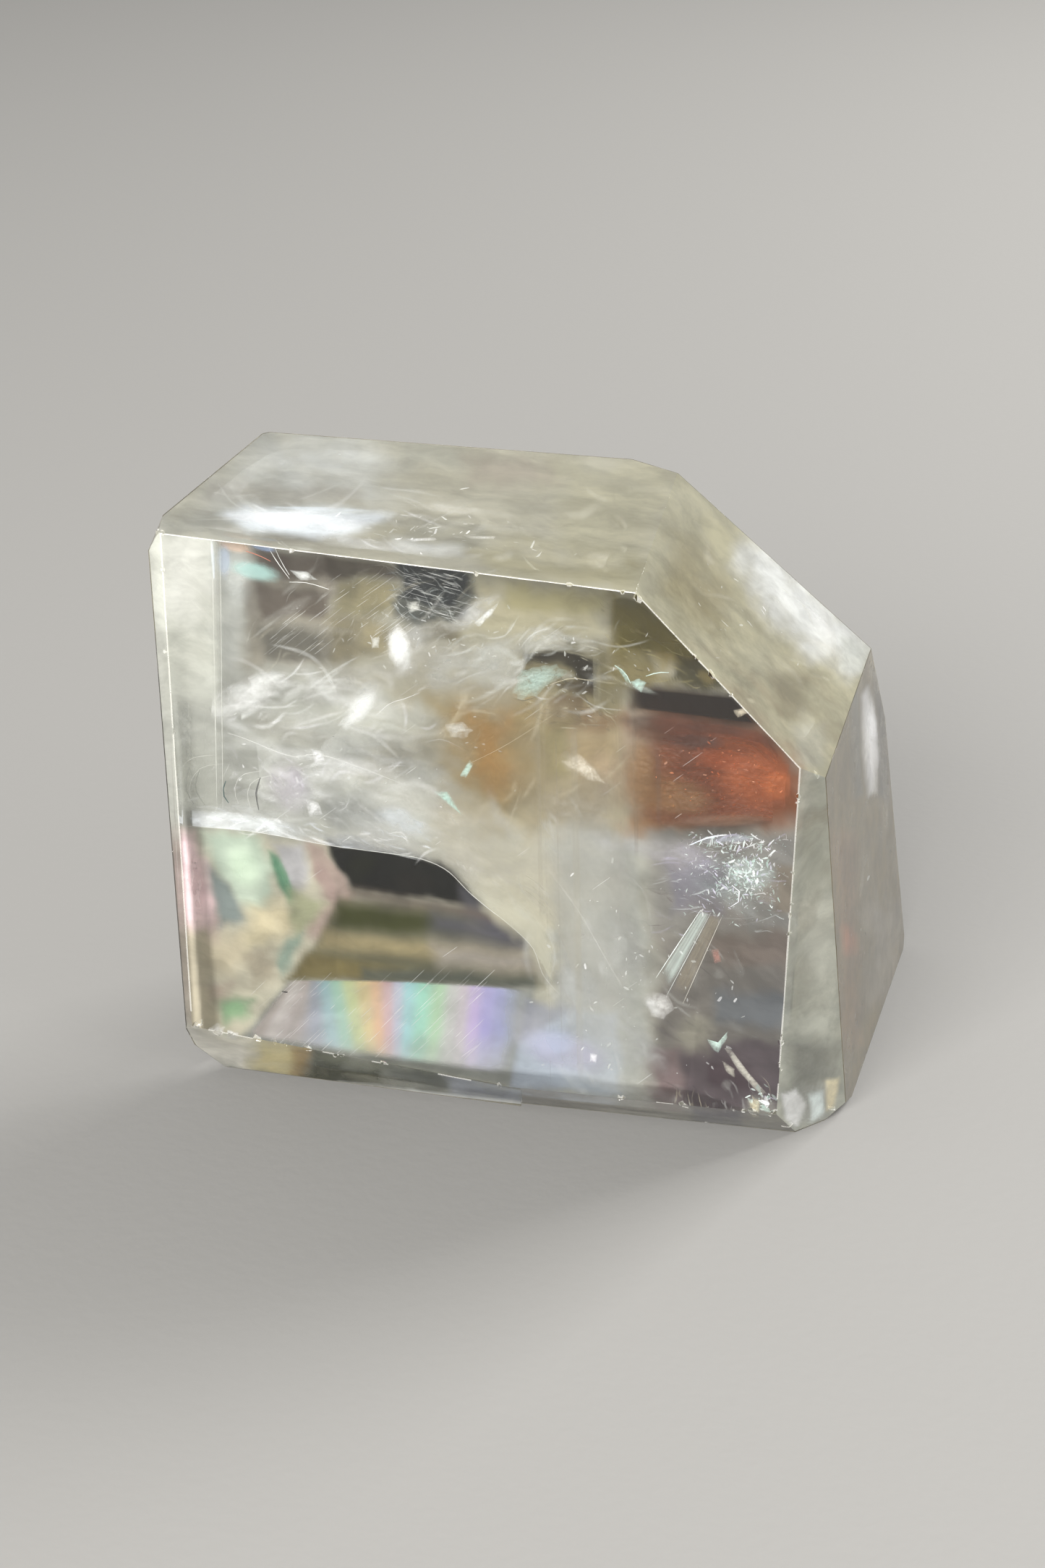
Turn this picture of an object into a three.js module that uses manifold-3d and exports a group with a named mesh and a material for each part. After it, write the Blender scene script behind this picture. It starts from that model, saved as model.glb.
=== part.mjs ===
// Optical calcite freeform: a clear rhomb of calcite, sawn flat below and polished into a
// free, many-faceted block. Millimetres, +Z up, long side along X. The stone is one natural
// piece, so it is one solid: a rough block with one flat cut for each polished facet.
import * as THREE from 'three';
import { mergeVertices } from 'three/addons/utils/BufferGeometryUtils.js';
import Module from 'manifold-3d';

// Rough block that the facets are cut from, with how far it starts to the left and in front of the
// setting-out point, and the cutting tool, which outreaches it.
const ROUGH_WIDTH = 90;
const ROUGH_DEPTH = 70;
const ROUGH_HEIGHT = 70;
const ROUGH_OVERHANG = { left: 10, front: 15 };
const CUTTER_SIZE = 160;

// Each facet is a plane. azimuth (degrees) is the heading of its outward normal, counted from
// +X towards +Y. tilt (degrees) is how far that normal looks up. distance (mm) is measured
// along the normal from the setting-out point, near the stone's front left foot.
const FRONT = { azimuth: -90, tilt: 1.5, distance: 2.1 };
const TOP = { azimuth: -71, tilt: 80.5, distance: 51.3 };
const SHOULDER = { azimuth: -9, tilt: 44.5, distance: 66.4 };
const RIGHT = { azimuth: -3.5, tilt: 4.5, distance: 63.3 };
const LEFT = { azimuth: 166, tilt: -2.5, distance: -5.2 };
const BACK = { azimuth: 94.5, tilt: 14.5, distance: 31.7 };

// Bevels along the upright edges, and the slanting cut behind the shoulder.
const FRONT_RIGHT_BEVEL = { azimuth: -42, tilt: 0, distance: 44.7 };
const FRONT_LEFT_BEVEL = { azimuth: -109, tilt: 1, distance: 0.2 };
const BACK_SHOULDER_CUT = { azimuth: 66, tilt: 33, distance: 59.9 };
const BACK_LEFT_BEVEL = { azimuth: 130, tilt: 7.5, distance: 16.6 };

// Bevels round the foot, which keep the sharp edge of the stone off the table.
const FOOT_BACK = { azimuth: 94.5, tilt: -38, distance: 24.9 };
const FOOT_RIGHT_CORNER = { azimuth: -22, tilt: -40, distance: 43.5 };
const FOOT_LEFT_CORNER = { azimuth: -150, tilt: -45, distance: -4.8 };

// The front foot bevel is cut in two lengths. A flake split off along the cleavage between
// them, so the right length stands a step further back than the left one.
const FOOT_FRONT_LEFT = { azimuth: -93, tilt: -27, distance: -0.9 };
const FOOT_FRONT_RIGHT = { azimuth: -90, tilt: -34, distance: 0.3 };
const FOOT_STEP_X = 35.2;
const FOOT_STEP_LEAN = 12;

// Tiny facets that blunt two corners of the top: over the left edge and behind the shoulder.
const TOP_LEFT_TIP = { azimuth: -165, tilt: 28, distance: 20.9 };
const TOP_BACK_TIP = { azimuth: 50, tilt: 48, distance: 69.6 };

const CALCITE_COLOUR = 0xdcdccb;
const CALCITE_ROUGHNESS = 0.08;

const wasm = await Module();
wasm.setup();

// Closed three.js geometry to a solid: corners shared, only positions kept.
function solidFrom(geometry) {
  const bare = geometry.clone();
  bare.deleteAttribute('normal');
  bare.deleteAttribute('uv');
  const welded = mergeVertices(bare);
  const vertProperties = new Float32Array(welded.attributes.position.array);
  const triVerts = new Uint32Array(welded.index.array);
  return new wasm.Manifold(new wasm.Mesh({ numProp: 3, vertProperties, triVerts }));
}

// Solid back to a three.js geometry with flat facets.
function geometryFrom(solid) {
  const { vertProperties, triVerts } = solid.getMesh();
  const geometry = new THREE.BufferGeometry();
  geometry.setAttribute('position', new THREE.BufferAttribute(new Float32Array(vertProperties), 3));
  geometry.setIndex(new THREE.BufferAttribute(new Uint32Array(triVerts), 1));
  geometry.computeVertexNormals();
  return geometry;
}

// Outward unit normal of a facet.
function normalOf(facet) {
  const azimuth = THREE.MathUtils.degToRad(facet.azimuth);
  const tilt = THREE.MathUtils.degToRad(facet.tilt);
  const level = Math.cos(tilt);
  return new THREE.Vector3(level * Math.cos(azimuth), level * Math.sin(azimuth), Math.sin(tilt));
}

// The waste outside a facet: a big cube with one face lying on the facet's plane.
function wasteOutside(facet) {
  const normal = normalOf(facet);
  const turn = new THREE.Quaternion().setFromUnitVectors(new THREE.Vector3(0, 0, 1), normal);
  const waste = new THREE.BoxGeometry(CUTTER_SIZE, CUTTER_SIZE, CUTTER_SIZE);
  waste.applyQuaternion(turn);
  const centre = normal.multiplyScalar(facet.distance + CUTTER_SIZE / 2);
  waste.translate(centre.x, centre.y, centre.z);
  return solidFrom(waste);
}

// Everything on the left (-1) or right (+1) of the step in the foot, which leans with the cleavage.
function sideOfStep(side) {
  const region = new THREE.BoxGeometry(CUTTER_SIZE, CUTTER_SIZE, CUTTER_SIZE);
  region.translate(side * CUTTER_SIZE / 2, 0, 0);
  region.rotateZ(THREE.MathUtils.degToRad(FOOT_STEP_LEAN));
  region.translate(FOOT_STEP_X, 0, 0);
  return solidFrom(region);
}

function roughBlock() {
  const block = new THREE.BoxGeometry(ROUGH_WIDTH, ROUGH_DEPTH, ROUGH_HEIGHT);
  const left = ROUGH_OVERHANG.left;
  const front = ROUGH_OVERHANG.front;
  block.translate(ROUGH_WIDTH / 2 - left, ROUGH_DEPTH / 2 - front, ROUGH_HEIGHT / 2);
  return solidFrom(block);
}

function facetedStone() {
  const facets = [
    FRONT, TOP, SHOULDER, RIGHT, LEFT, BACK,
    FRONT_RIGHT_BEVEL, FRONT_LEFT_BEVEL, BACK_SHOULDER_CUT, BACK_LEFT_BEVEL,
    FOOT_BACK, FOOT_RIGHT_CORNER, FOOT_LEFT_CORNER, TOP_LEFT_TIP, TOP_BACK_TIP,
  ];
  let stone = roughBlock();
  for (const facet of facets) {
    stone = stone.subtract(wasteOutside(facet));
  }
  stone = stone.subtract(wasteOutside(FOOT_FRONT_LEFT).intersect(sideOfStep(-1)));
  stone = stone.subtract(wasteOutside(FOOT_FRONT_RIGHT).intersect(sideOfStep(1)));
  return stone;
}

// The origin is the middle of the stone's box, at the height of its base.
function standOnOrigin(geometry) {
  geometry.computeBoundingBox();
  const { min, max } = geometry.boundingBox;
  geometry.translate(-(min.x + max.x) / 2, -(min.y + max.y) / 2, -min.z);
}

const stoneGeometry = geometryFrom(facetedStone());
standOnOrigin(stoneGeometry);

const calcite = new THREE.MeshStandardMaterial({
  color: CALCITE_COLOUR,
  roughness: CALCITE_ROUGHNESS,
  metalness: 0,
});
const stoneMesh = new THREE.Mesh(stoneGeometry, calcite);
stoneMesh.name = 'calcite_freeform';

const part = new THREE.Group();
part.add(stoneMesh);

export default part;
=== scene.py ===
"""Optical calcite freeform: a hand-cut clear calcite block with its sealed veils, cleavage flakes and colour films.

Lengths in the tables are millimetres unless a name says otherwise; the model itself is in metres.
An outline, a rail or a region is a run of x, y frame points.
"""
import functools
import math
import random

import bmesh
import bpy
from bpy.props import FloatProperty, IntProperty, PointerProperty, StringProperty
from mathutils import Euler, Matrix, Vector, noise


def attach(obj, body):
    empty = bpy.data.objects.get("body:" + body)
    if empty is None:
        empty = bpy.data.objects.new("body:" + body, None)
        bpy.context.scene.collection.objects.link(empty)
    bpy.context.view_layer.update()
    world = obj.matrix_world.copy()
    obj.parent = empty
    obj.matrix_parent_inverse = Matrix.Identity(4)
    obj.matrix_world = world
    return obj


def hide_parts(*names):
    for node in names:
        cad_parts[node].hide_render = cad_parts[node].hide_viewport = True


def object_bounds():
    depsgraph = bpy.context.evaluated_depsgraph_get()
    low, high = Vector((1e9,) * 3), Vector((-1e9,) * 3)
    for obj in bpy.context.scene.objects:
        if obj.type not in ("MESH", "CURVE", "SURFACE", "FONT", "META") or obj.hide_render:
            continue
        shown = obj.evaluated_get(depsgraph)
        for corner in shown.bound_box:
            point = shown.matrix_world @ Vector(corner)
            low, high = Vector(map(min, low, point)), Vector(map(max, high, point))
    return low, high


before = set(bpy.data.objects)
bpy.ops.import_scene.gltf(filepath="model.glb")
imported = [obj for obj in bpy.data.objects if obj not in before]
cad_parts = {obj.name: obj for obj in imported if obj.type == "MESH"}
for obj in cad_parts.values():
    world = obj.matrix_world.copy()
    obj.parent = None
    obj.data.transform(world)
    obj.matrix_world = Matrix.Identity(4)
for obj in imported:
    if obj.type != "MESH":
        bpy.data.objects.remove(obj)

bl_info = {
    "name": "Optical Calcite Freeform",
    "version": (1, 0, 0),
    "blender": (4, 5, 0),
    "location": "View3D > Sidebar > Calcite",
    "description": "Builds a polished calcite block with its sealed veils, flakes, stains and colour films",
    "category": "Add Mesh",
}

CAD_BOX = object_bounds()
BLOCK_NODE = "calcite_freeform"
BODY = "root"
MM = 0.001
MM_PER_METRE = 1000

# ---------------------------------------------------------------- viewpoint
# The camera looks down on the block from the front. Features inside are laid out by where their
# line of sight meets a facet, in frame points (x right, y down) of a 1445 x 2168 frame.
FRAME_WIDTH, FRAME_HEIGHT = 1445, 2168
CAMERA_PLACE = Vector((0.0493, -0.24969, 0.1365))
CAMERA_PITCH = math.radians(66.0)
CAMERA_TURN = math.radians(11.8)
CAMERA_LENS = 69.84
SENSOR = 36.0
NEAREST_SEEN = 0.01  # metres
FOCAL_POINTS = CAMERA_LENS / SENSOR * FRAME_HEIGHT
VIEW = Euler((CAMERA_PITCH, 0.0, CAMERA_TURN)).to_matrix()

# One frame point well inside each facet that the camera sees.
FACET_POINTS = {
    "front": (700, 1100),
    "top": (520, 690),
    "shoulder": (1050, 860),
    "right": (1200, 1250),
    "right_bevel": (1120, 1300),
    "left_bevel": (238, 1100),
    "foot_left": (480, 1480),
    "foot_right": (900, 1533),
}
SKIN_GAP = 0.12 * MM  # nothing sealed in the block comes nearer its surface than this
CLEARANCE = 1.3 * MM  # deep features stop this far short of the cloudy sides
LEAST_TRAVEL = 0.6  # mm that a feature keeps below its facet, however short of room it is
LEAST_DEPTH = 0.2  # mm
WELD = 1e-6  # metres between corners that count as one
FLAT_ANGLE = math.radians(0.5)  # triangles within this lie in one facet
MIN_FACET_AREA = 25e-6  # square metres; smaller faces, such as blunted corners, aren't used
PER_MM = 15.8  # frame points to a millimetre at the front facet


def linear(code):
    """A '#rrggbb' sRGB colour as linear RGBA."""
    parts = [int(code[i:i + 2], 16) / 255 for i in (1, 3, 5)]
    return (*[c / 12.92 if c <= 0.04045 else ((c + 0.055) / 1.055) ** 2.4 for c in parts], 1.0)


def block_facets():
    """The CAD block as a mesh in work, with the triangles of each facet joined."""
    work = bmesh.new()
    work.from_mesh(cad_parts[BLOCK_NODE].data)
    bmesh.ops.remove_doubles(work, verts=work.verts, dist=WELD)
    bmesh.ops.dissolve_limit(work, angle_limit=FLAT_ANGLE, verts=work.verts, edges=work.edges)
    return work


def facet_planes():
    """The block's larger facets, as (point, outward normal, corners)."""
    work = block_facets()
    planes = [
        (f.calc_center_median(), f.normal.copy(), [v.co.copy() for v in f.verts])
        for f in work.faces
        if f.calc_area() > MIN_FACET_AREA
    ]
    work.free()
    return planes


PLANES = facet_planes()


def view_ray(x, y):
    """The direction from the camera through a frame point."""
    across = (x - FRAME_WIDTH / 2) / FOCAL_POINTS
    down = (y - FRAME_HEIGHT / 2) / FOCAL_POINTS
    return (VIEW @ Vector((across, -down, -1.0))).normalized()


def on_plane(x, y, plane):
    """Where the line of sight through a frame point meets a facet's plane."""
    ray = view_ray(x, y)
    return CAMERA_PLACE + ray * ((plane[0] - CAMERA_PLACE).dot(plane[1]) / ray.dot(plane[1]))


def facet_at(x, y):
    """The facet that a frame point shows: the seen plane that the line of sight meets last."""
    seen = [p for p in PLANES if view_ray(x, y).dot(p[1]) < 0]
    return max(seen, key=lambda p: (on_plane(x, y, p) - CAMERA_PLACE).length)


FACETS = {name: facet_at(*point) for name, point in FACET_POINTS.items()}


def in_frame(place):
    """The frame point at which a place is seen."""
    local = VIEW.transposed() @ (place - CAMERA_PLACE)
    return (FRAME_WIDTH / 2 - local.x / local.z * FOCAL_POINTS, FRAME_HEIGHT / 2 + local.y / local.z * FOCAL_POINTS)


def pushed_inside(place, gap=SKIN_GAP):
    """The place moved, if need be, to lie at least gap inside every facet."""
    for _ in range(4):  # corners need a few rounds, as one facet's push can leave the next
        for point, normal, _corners in PLANES:
            proud = (place - point).dot(normal) + gap
            if proud > 0:
                place = place - normal * proud
    return place


def sight(x, y, facet, depth):
    """A place depth mm below a facet, on the line of sight through a frame point, bent as the stone bends it."""
    plane = FACETS[facet]
    normal = plane[1]
    ray = view_ray(x, y)
    start = on_plane(x, y, plane)
    ratio = 1.0 / bpy.context.scene.calcite_block.ior
    cosine = -ray.dot(normal)
    bent = ray * ratio + normal * (ratio * cosine - math.sqrt(1 - ratio * ratio * (1 - cosine * cosine)))
    descent = -bent.dot(normal)
    travel = depth * MM / descent
    for point, out, _corners in PLANES:
        rise = bent.dot(out)
        if out is not normal and rise > 0:
            travel = min(travel, ((point - start).dot(out) - CLEARANCE) / rise)
    return pushed_inside(start + bent * max(travel, min(depth, LEAST_TRAVEL) * MM / descent))


# ---------------------------------------------------------------- outlines, rails and tones
RAIL_STEPS = 12  # straight steps between two points of a rail
OVAL_CORNERS = 12
USUAL_WANDER = 0.9  # of a tone's softness
DRIFTS = ((0.021, 1.0), (0.06, 0.5))  # waves per frame point and their share, by which tones wander


@functools.lru_cache(maxsize=None)
def pairs(flat):
    """A run of x, y numbers as frame points."""
    return tuple(zip(flat[::2], flat[1::2]))


@functools.lru_cache(maxsize=None)
def limits(flat):
    xs, ys = flat[::2], flat[1::2]
    return min(xs), max(xs), min(ys), max(ys)


def smooth_rail(points, count):
    """count points spaced evenly along a smooth curve through the given ones."""
    if len(points) == 2:
        points = [points[0], [(a + b) / 2 for a, b in zip(*points)], points[1]]
    ends = [points[0], *points, points[-1]]
    fine = []
    for i in range(len(points) - 1):
        a, b, c, d = (Vector((*p, 0)) for p in ends[i:i + 4])
        for k in range(RAIL_STEPS):
            t = k / RAIL_STEPS
            fine.append(0.5 * (2 * b + (c - a) * t + (2 * a - 5 * b + 4 * c - d) * t * t
                               + (3 * b - 3 * c + d - a) * t * t * t))
    fine.append(Vector((*points[-1], 0)))
    run = [0.0]
    for a, b in zip(fine, fine[1:]):
        run.append(run[-1] + (b - a).length)
    rail, k = [], 0
    for i in range(count):
        goal = run[-1] * i / (count - 1)
        while k < len(run) - 2 and run[k + 1] < goal:
            k += 1
        share = (goal - run[k]) / max(run[k + 1] - run[k], 1e-9)
        rail.append(fine[k].lerp(fine[k + 1], min(max(share, 0), 1)))
    return rail


def smoothstep(value):
    value = min(max(value, 0.0), 1.0)
    return value * value * (3 - 2 * value)


def along_stops(stops, share):
    """The colour at a share of the way along evenly spaced colour stops."""
    if isinstance(stops, str):
        return linear(stops)
    at = share * (len(stops) - 1)
    low = min(int(at), len(stops) - 2)
    mix = smoothstep(at - low)
    return tuple(a + (b - a) * mix for a, b in zip(linear(stops[low]), linear(stops[low + 1])))


def oval(x, y, reach_x, reach_y, turn=0.0):
    """A rounded outline, its long way turned by degrees clockwise."""
    cos, sin = math.cos(math.radians(turn)), math.sin(math.radians(turn))
    angles = [k * math.pi / 6 for k in range(OVAL_CORNERS)]
    ring = [(math.cos(a) * reach_x, math.sin(a) * reach_y) for a in angles]
    return tuple(c for u, v in ring for c in (x + u * cos - v * sin, y + u * sin + v * cos))


def inside_by(x, y, outline):
    """How far a frame point lies inside an outline, in frame points; negative outside it."""
    nearest, inside = math.inf, False
    points = pairs(outline)
    for (ax, ay), (bx, by) in zip(points, points[1:] + points[:1]):
        run_x, run_y = bx - ax, by - ay
        along = min(max(((x - ax) * run_x + (y - ay) * run_y) / (run_x * run_x + run_y * run_y), 0.0), 1.0)
        nearest = min(nearest, math.hypot(ax + run_x * along - x, ay + run_y * along - y))
        if (ay > y) != (by > y) and x < ax + (y - ay) / run_y * run_x:
            inside = not inside
    return nearest if inside else -nearest


def drift(x, y, *seeds):
    return sum(noise.noise(Vector((x * rate, y * rate, seed))) * share for (rate, share), seed in zip(DRIFTS, seeds))


def toned(x, y, base, tones):
    """The colour at a frame point: each tone lies softly over the base and the tones before it.
    A tone is its outline, softness, colour, strength and, if it isn't the usual, how far its border wanders."""
    colour = Vector(linear(base))
    drift_x, drift_y = drift(x, y, 3.0, 5.0), drift(x, y, 9.0, 7.0)
    for outline, soft, code, strength, *ragged in tones:
        left, right, top, foot = limits(outline)
        pull = ragged[0] if ragged else soft * USUAL_WANDER
        reach = soft + 2 * pull
        if x < left - reach or x > right + reach or y < top - reach or y > foot + reach:
            continue
        share = smoothstep(0.5 + inside_by(x + drift_x * pull, y + drift_y * pull, outline) / (2 * soft)) * strength
        if share > 0:
            colour = colour.lerp(Vector(linear(code)), share)
    return tuple(colour)


# ---------------------------------------------------------------- pieces
TUBE_ANGLES = (0.0, 2.094, 4.189)  # a third of a turn apart


class Piece:
    """Gathers sheets, plates and threads of one finish into one mesh."""

    MOST_COLUMNS, MOST_ROWS = 230, 190

    def __init__(self, name, seed, power=1.0):
        self.name, self.power = name, power
        self.work = bmesh.new()
        layers = self.work.verts.layers
        self.opacity = layers.float.new("opacity")
        self.edge = layers.float.new("edge")
        self.grain = layers.float_vector.new("grain")
        self.tint = layers.float_color.new("tint")
        self.chance = random.Random(seed)
        self.count = 0

    def moved_on(self, spacing):
        """How far the grain of the next feature is moved, so that no two show the same pattern."""
        self.count += 1
        return self.count * spacing

    def vertex(self, place, opacity, grain, tint, edge=1.0):
        made = self.work.verts.new(place)
        made[self.opacity] = opacity * self.power
        made[self.edge] = edge
        made[self.grain] = grain
        made[self.tint] = tint
        return made

    def lattice(self, columns, rows, vertex_at, keep=None):
        """A net of vertices, with a face in each of its meshes that keep allows."""
        grid = [[vertex_at(i, j) for j in range(rows + 1)] for i in range(columns + 1)]
        for i in range(columns):
            for j in range(rows):
                corners = (grid[i][j], grid[i + 1][j], grid[i + 1][j + 1], grid[i][j + 1])
                if keep is None or keep(corners):
                    self.work.faces.new(corners)

    def shows(self, corners):
        return any(c[self.edge] > 0 for c in corners)

    def sheet(self, first, second, depths, tint, strength, fade, relief=0.4, step=0.8, facet="front", ramp=None):
        """A ruled sheet between two rails. depths are those at the first rail and the second. fade is the soft width
        at the start, the end, the first rail and the second. ramp is the width over which the sheet sinks to its
        depth, at the start and at the end."""
        shift = self.moved_on(23.7)
        first, second = pairs(first), pairs(second)
        long_way = max(sum((Vector(b) - Vector(a)).length for a, b in zip(r, r[1:])) for r in (first, second))
        cross = max((Vector(a) - Vector(b)).length for a, b in ((first[0], second[0]), (first[-1], second[-1])))
        columns = max(6, min(self.MOST_COLUMNS, int(long_way / PER_MM / step)))
        rows = max(4, min(self.MOST_ROWS, int(cross / PER_MM / step)))
        rail_a, rail_b = smooth_rail(first, columns + 1), smooth_rail(second, columns + 1)
        width = long_way / PER_MM
        height = max(cross / PER_MM, 0.1)

        def vertex_at(i, j):
            along, across = i / columns, j / rows
            spot = rail_a[i].lerp(rail_b[i], across)
            wave = noise.noise(Vector((along * width * 0.16 + shift, across * height * 0.16, shift)))
            fine = noise.noise(Vector((along * width * 0.6 + shift, across * height * 0.6, -shift)))
            depth = depths[0] + (depths[1] - depths[0]) * across + relief * (2.2 * wave + 0.5 * fine)
            near = [along * width, (1 - along) * width, across * height, (1 - across) * height]
            if ramp:
                depth *= 0.2 + 0.8 * min(near[0] / ramp[0], near[1] / ramp[1], 1.0)
            return self.vertex(
                sight(spot.x, spot.y, facet, max(depth, LEAST_DEPTH)), strength,
                (along * width + shift, across * height, shift),
                tint(spot.x, spot.y) if callable(tint) else along_stops(tint, along),
                math.prod(smoothstep(distance / edge) for distance, edge in zip(near, fade) if edge > 0),
            )

        self.lattice(columns, rows, vertex_at)

    def cloud(self, x, y, reach_x, reach_y, turn, depth, tint, strength, facet="front"):
        """A soft oval patch, its long way turned by degrees clockwise, fading out towards its rim."""
        shift = self.moved_on(17.9)
        columns, rows = max(8, int(reach_x / 7)), max(6, int(reach_y / 7))
        way = Vector((math.cos(math.radians(turn)), math.sin(math.radians(turn))))
        side = Vector((-way.y, way.x))

        def vertex_at(i, j):
            u, v = 2 * i / columns - 1, 2 * j / rows - 1
            off = way * (u * reach_x) + side * (v * reach_y)
            wave = noise.noise(Vector((u * reach_x * 0.012 + shift, v * reach_y * 0.012, shift)))
            deep = max(depth + wave * min(1.2, depth * 0.3), LEAST_DEPTH)
            return self.vertex(sight(x + off.x, y + off.y, facet, deep), strength,
                               (u * reach_x / PER_MM + shift, v * reach_y / PER_MM, shift), linear(tint),
                               smoothstep(1.15 * (1 - math.hypot(u, v))))

        self.lattice(columns, rows, vertex_at, self.shows)

    def pane(self, corner, along, up, tint, strength):
        """A sheet spanning two edges from a corner, all in millimetres, kept to where it lies in clear stone."""
        shift = self.moved_on(31.3)
        corner, along, up = Vector(corner), Vector(along), Vector(up)
        wide, high = along.length, up.length
        columns, rows = max(6, int(wide)), max(6, int(high))
        out = along.cross(up).normalized()

        def vertex_at(i, j):
            u, v = i / columns, j / rows
            wave = noise.noise(Vector((u * wide * 0.09 + shift, v * high * 0.09, shift)))
            spot = (corner + along * u + up * v + out * (wave * 1.5 * 2)) * MM
            depth = min((p - spot).dot(n) for p, n, _c in PLANES)
            near = min(u * wide, (1 - u) * wide, v * high, (1 - v) * high)
            soft = smoothstep(near / 4.0) * smoothstep((depth - CLEARANCE) / (0.8 * MM))
            return self.vertex(spot, strength, (u * wide + shift, v * high, shift), linear(tint), soft)

        self.lattice(columns, rows, vertex_at,
                     lambda corners: self.shows(corners) and all(self.within(c.co) for c in corners))

    def within(self, place):
        return all((place - p).dot(n) < -SKIN_GAP for p, n, _c in PLANES)

    def plate(self, outline, depth, tint, strength, slope=(1, 1), facet="front"):
        """A flat flake with the given outline, its depth sloping by mm per 100 frame points, thinning to its rim."""
        shift = self.moved_on(11.3)
        points = pairs(outline)
        middle = Vector((sum(outline[::2]), sum(outline[1::2]))) / len(points)
        spots = [middle]
        for point, after in zip(points, points[1:] + points[:1]):
            for t in (0.0, 0.33, 0.67):
                spot = Vector(point).lerp(Vector(after), t)
                spots.append(spot + (spot - middle) * (self.chance.uniform(-0.12, 0.12) if t else 0.0))
        made = []
        for spot in spots:
            off = spot - middle
            deep = max(depth + (off.x * slope[0] + off.y * slope[1]) / 100, LEAST_DEPTH)
            made.append(self.vertex(sight(spot.x, spot.y, facet, deep), strength,
                                    (off.x / PER_MM + shift, off.y / PER_MM, shift), linear(tint),
                                    0.3 if off.length > 1 else 1.0))
        for a, b in zip(made[1:], made[2:] + made[1:2]):
            self.work.faces.new((made[0], a, b))

    def speck(self, place, size, tint, strength, stretch, lean=(0, -1, 0)):
        """A tiny flake of random outline and lean."""
        shift = self.moved_on(3.1)
        side = Vector([self.chance.gauss(0, 1) for _ in range(3)])
        normal = Vector(lean) + side * 0.55
        normal.normalize()
        across = normal.cross(Vector([self.chance.gauss(0, 1) for _ in range(3)])).normalized()
        up = normal.cross(across)
        ring = []
        for k in range(6):
            angle = k * math.pi / 3 + self.chance.uniform(-0.35, 0.35)
            reach = size * MM * self.chance.uniform(0.35, 0.62)
            spot = place + across * (math.cos(angle) * reach * stretch) + up * (math.sin(angle) * reach / stretch)
            ring.append(self.vertex(pushed_inside(spot), strength, (k + shift, shift, shift), linear(tint)))
        self.work.faces.new(ring)

    def scatter(self, region, count, sizes, depths, tints, strength, stretch, facet="front"):
        """Tiny flakes strewn over a four-cornered region, denser at its middle."""
        a, b, c, d = (Vector(p) for p in pairs(region))
        for _ in range(count):
            u, v = (0.5 + (self.chance.random() + self.chance.random() - 1) * 0.5 for _ in range(2))
            spot = a.lerp(b, u).lerp(d.lerp(c, u), v)
            size = sizes[0] + (sizes[1] - sizes[0]) * self.chance.random() ** 2.2
            self.speck(sight(spot.x, spot.y, facet, self.chance.uniform(*depths)), size,
                       self.chance.choice(tints), strength * self.chance.uniform(0.6, 1.0), stretch)

    def wisps(self, region, count, heading, lengths, widths, depths, tints, strength, facet="front"):
        """Fine torn wisps strewn over a four-cornered region, drawn out roughly along one heading and gently bent."""
        a, b, c, d = (Vector(p) for p in pairs(region))
        for _ in range(count):
            u, v = self.chance.random(), self.chance.random()
            spot = a.lerp(b, u).lerp(d.lerp(c, u), v)
            sway = 30 * noise.noise(Vector((spot.x * 0.01, spot.y * 0.01, 1)))
            turn = math.radians(heading + self.chance.gauss(0, 16) + sway)
            way = Vector((math.cos(turn), math.sin(turn)))
            side = Vector((-way.y, way.x))
            length, width = ((span[0] + (span[1] - span[0]) * self.chance.random() ** 2) * PER_MM
                             for span in (lengths, widths))
            bend = self.chance.gauss(0, 0.12) * length
            ends = (spot - way * length / 2, spot + side * bend, spot + way * length / 2)
            rails = [tuple(c for p in ends for c in p + side * off) for off in (0.0, width)]
            self.sheet(*rails, (self.chance.uniform(*depths),) * 2,
                       self.chance.choice(tints), strength * self.chance.uniform(0.4, 1.0),
                       (length / PER_MM * 0.4,) * 2 + (width / PER_MM * 0.5,) * 2, 0.05, facet=facet)

    def thread(self, points, depth, width, tint, strength, facet="front"):
        """A hair-fine three-sided tube along a rail: the bright rim of a crack or plane, or a painted glint."""
        shift = self.moved_on(5.3)
        points = pairs(points)
        length = sum((Vector(b) - Vector(a)).length for a, b in zip(points, points[1:]))
        places = [sight(p.x, p.y, facet, depth) for p in smooth_rail(points, max(4, int(length / 9)))]
        rings = []
        for k, place in enumerate(places):
            ahead = places[min(k + 1, len(places) - 1)] - places[max(k - 1, 0)]
            side = ahead.cross(Vector((0.3, 1, 0.2))).normalized()
            other = ahead.cross(side).normalized()
            taper = math.sqrt(max(math.sin(math.pi * (k + 0.4) / (len(places) - 0.2)), 0.05))
            reach = width / 2 * MM * taper * self.chance.uniform(0.75, 1.2)
            rings.append([
                self.vertex(place + (side * math.cos(a) + other * math.sin(a)) * reach, strength,
                            (k * 0.6 + shift, a, shift), linear(tint))
                for a in TUBE_ANGLES
            ])
        for a, b in zip(rings, rings[1:]):
            for k in range(3):
                self.work.faces.new((a[k], a[(k + 1) % 3], b[(k + 1) % 3], b[k]))

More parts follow.
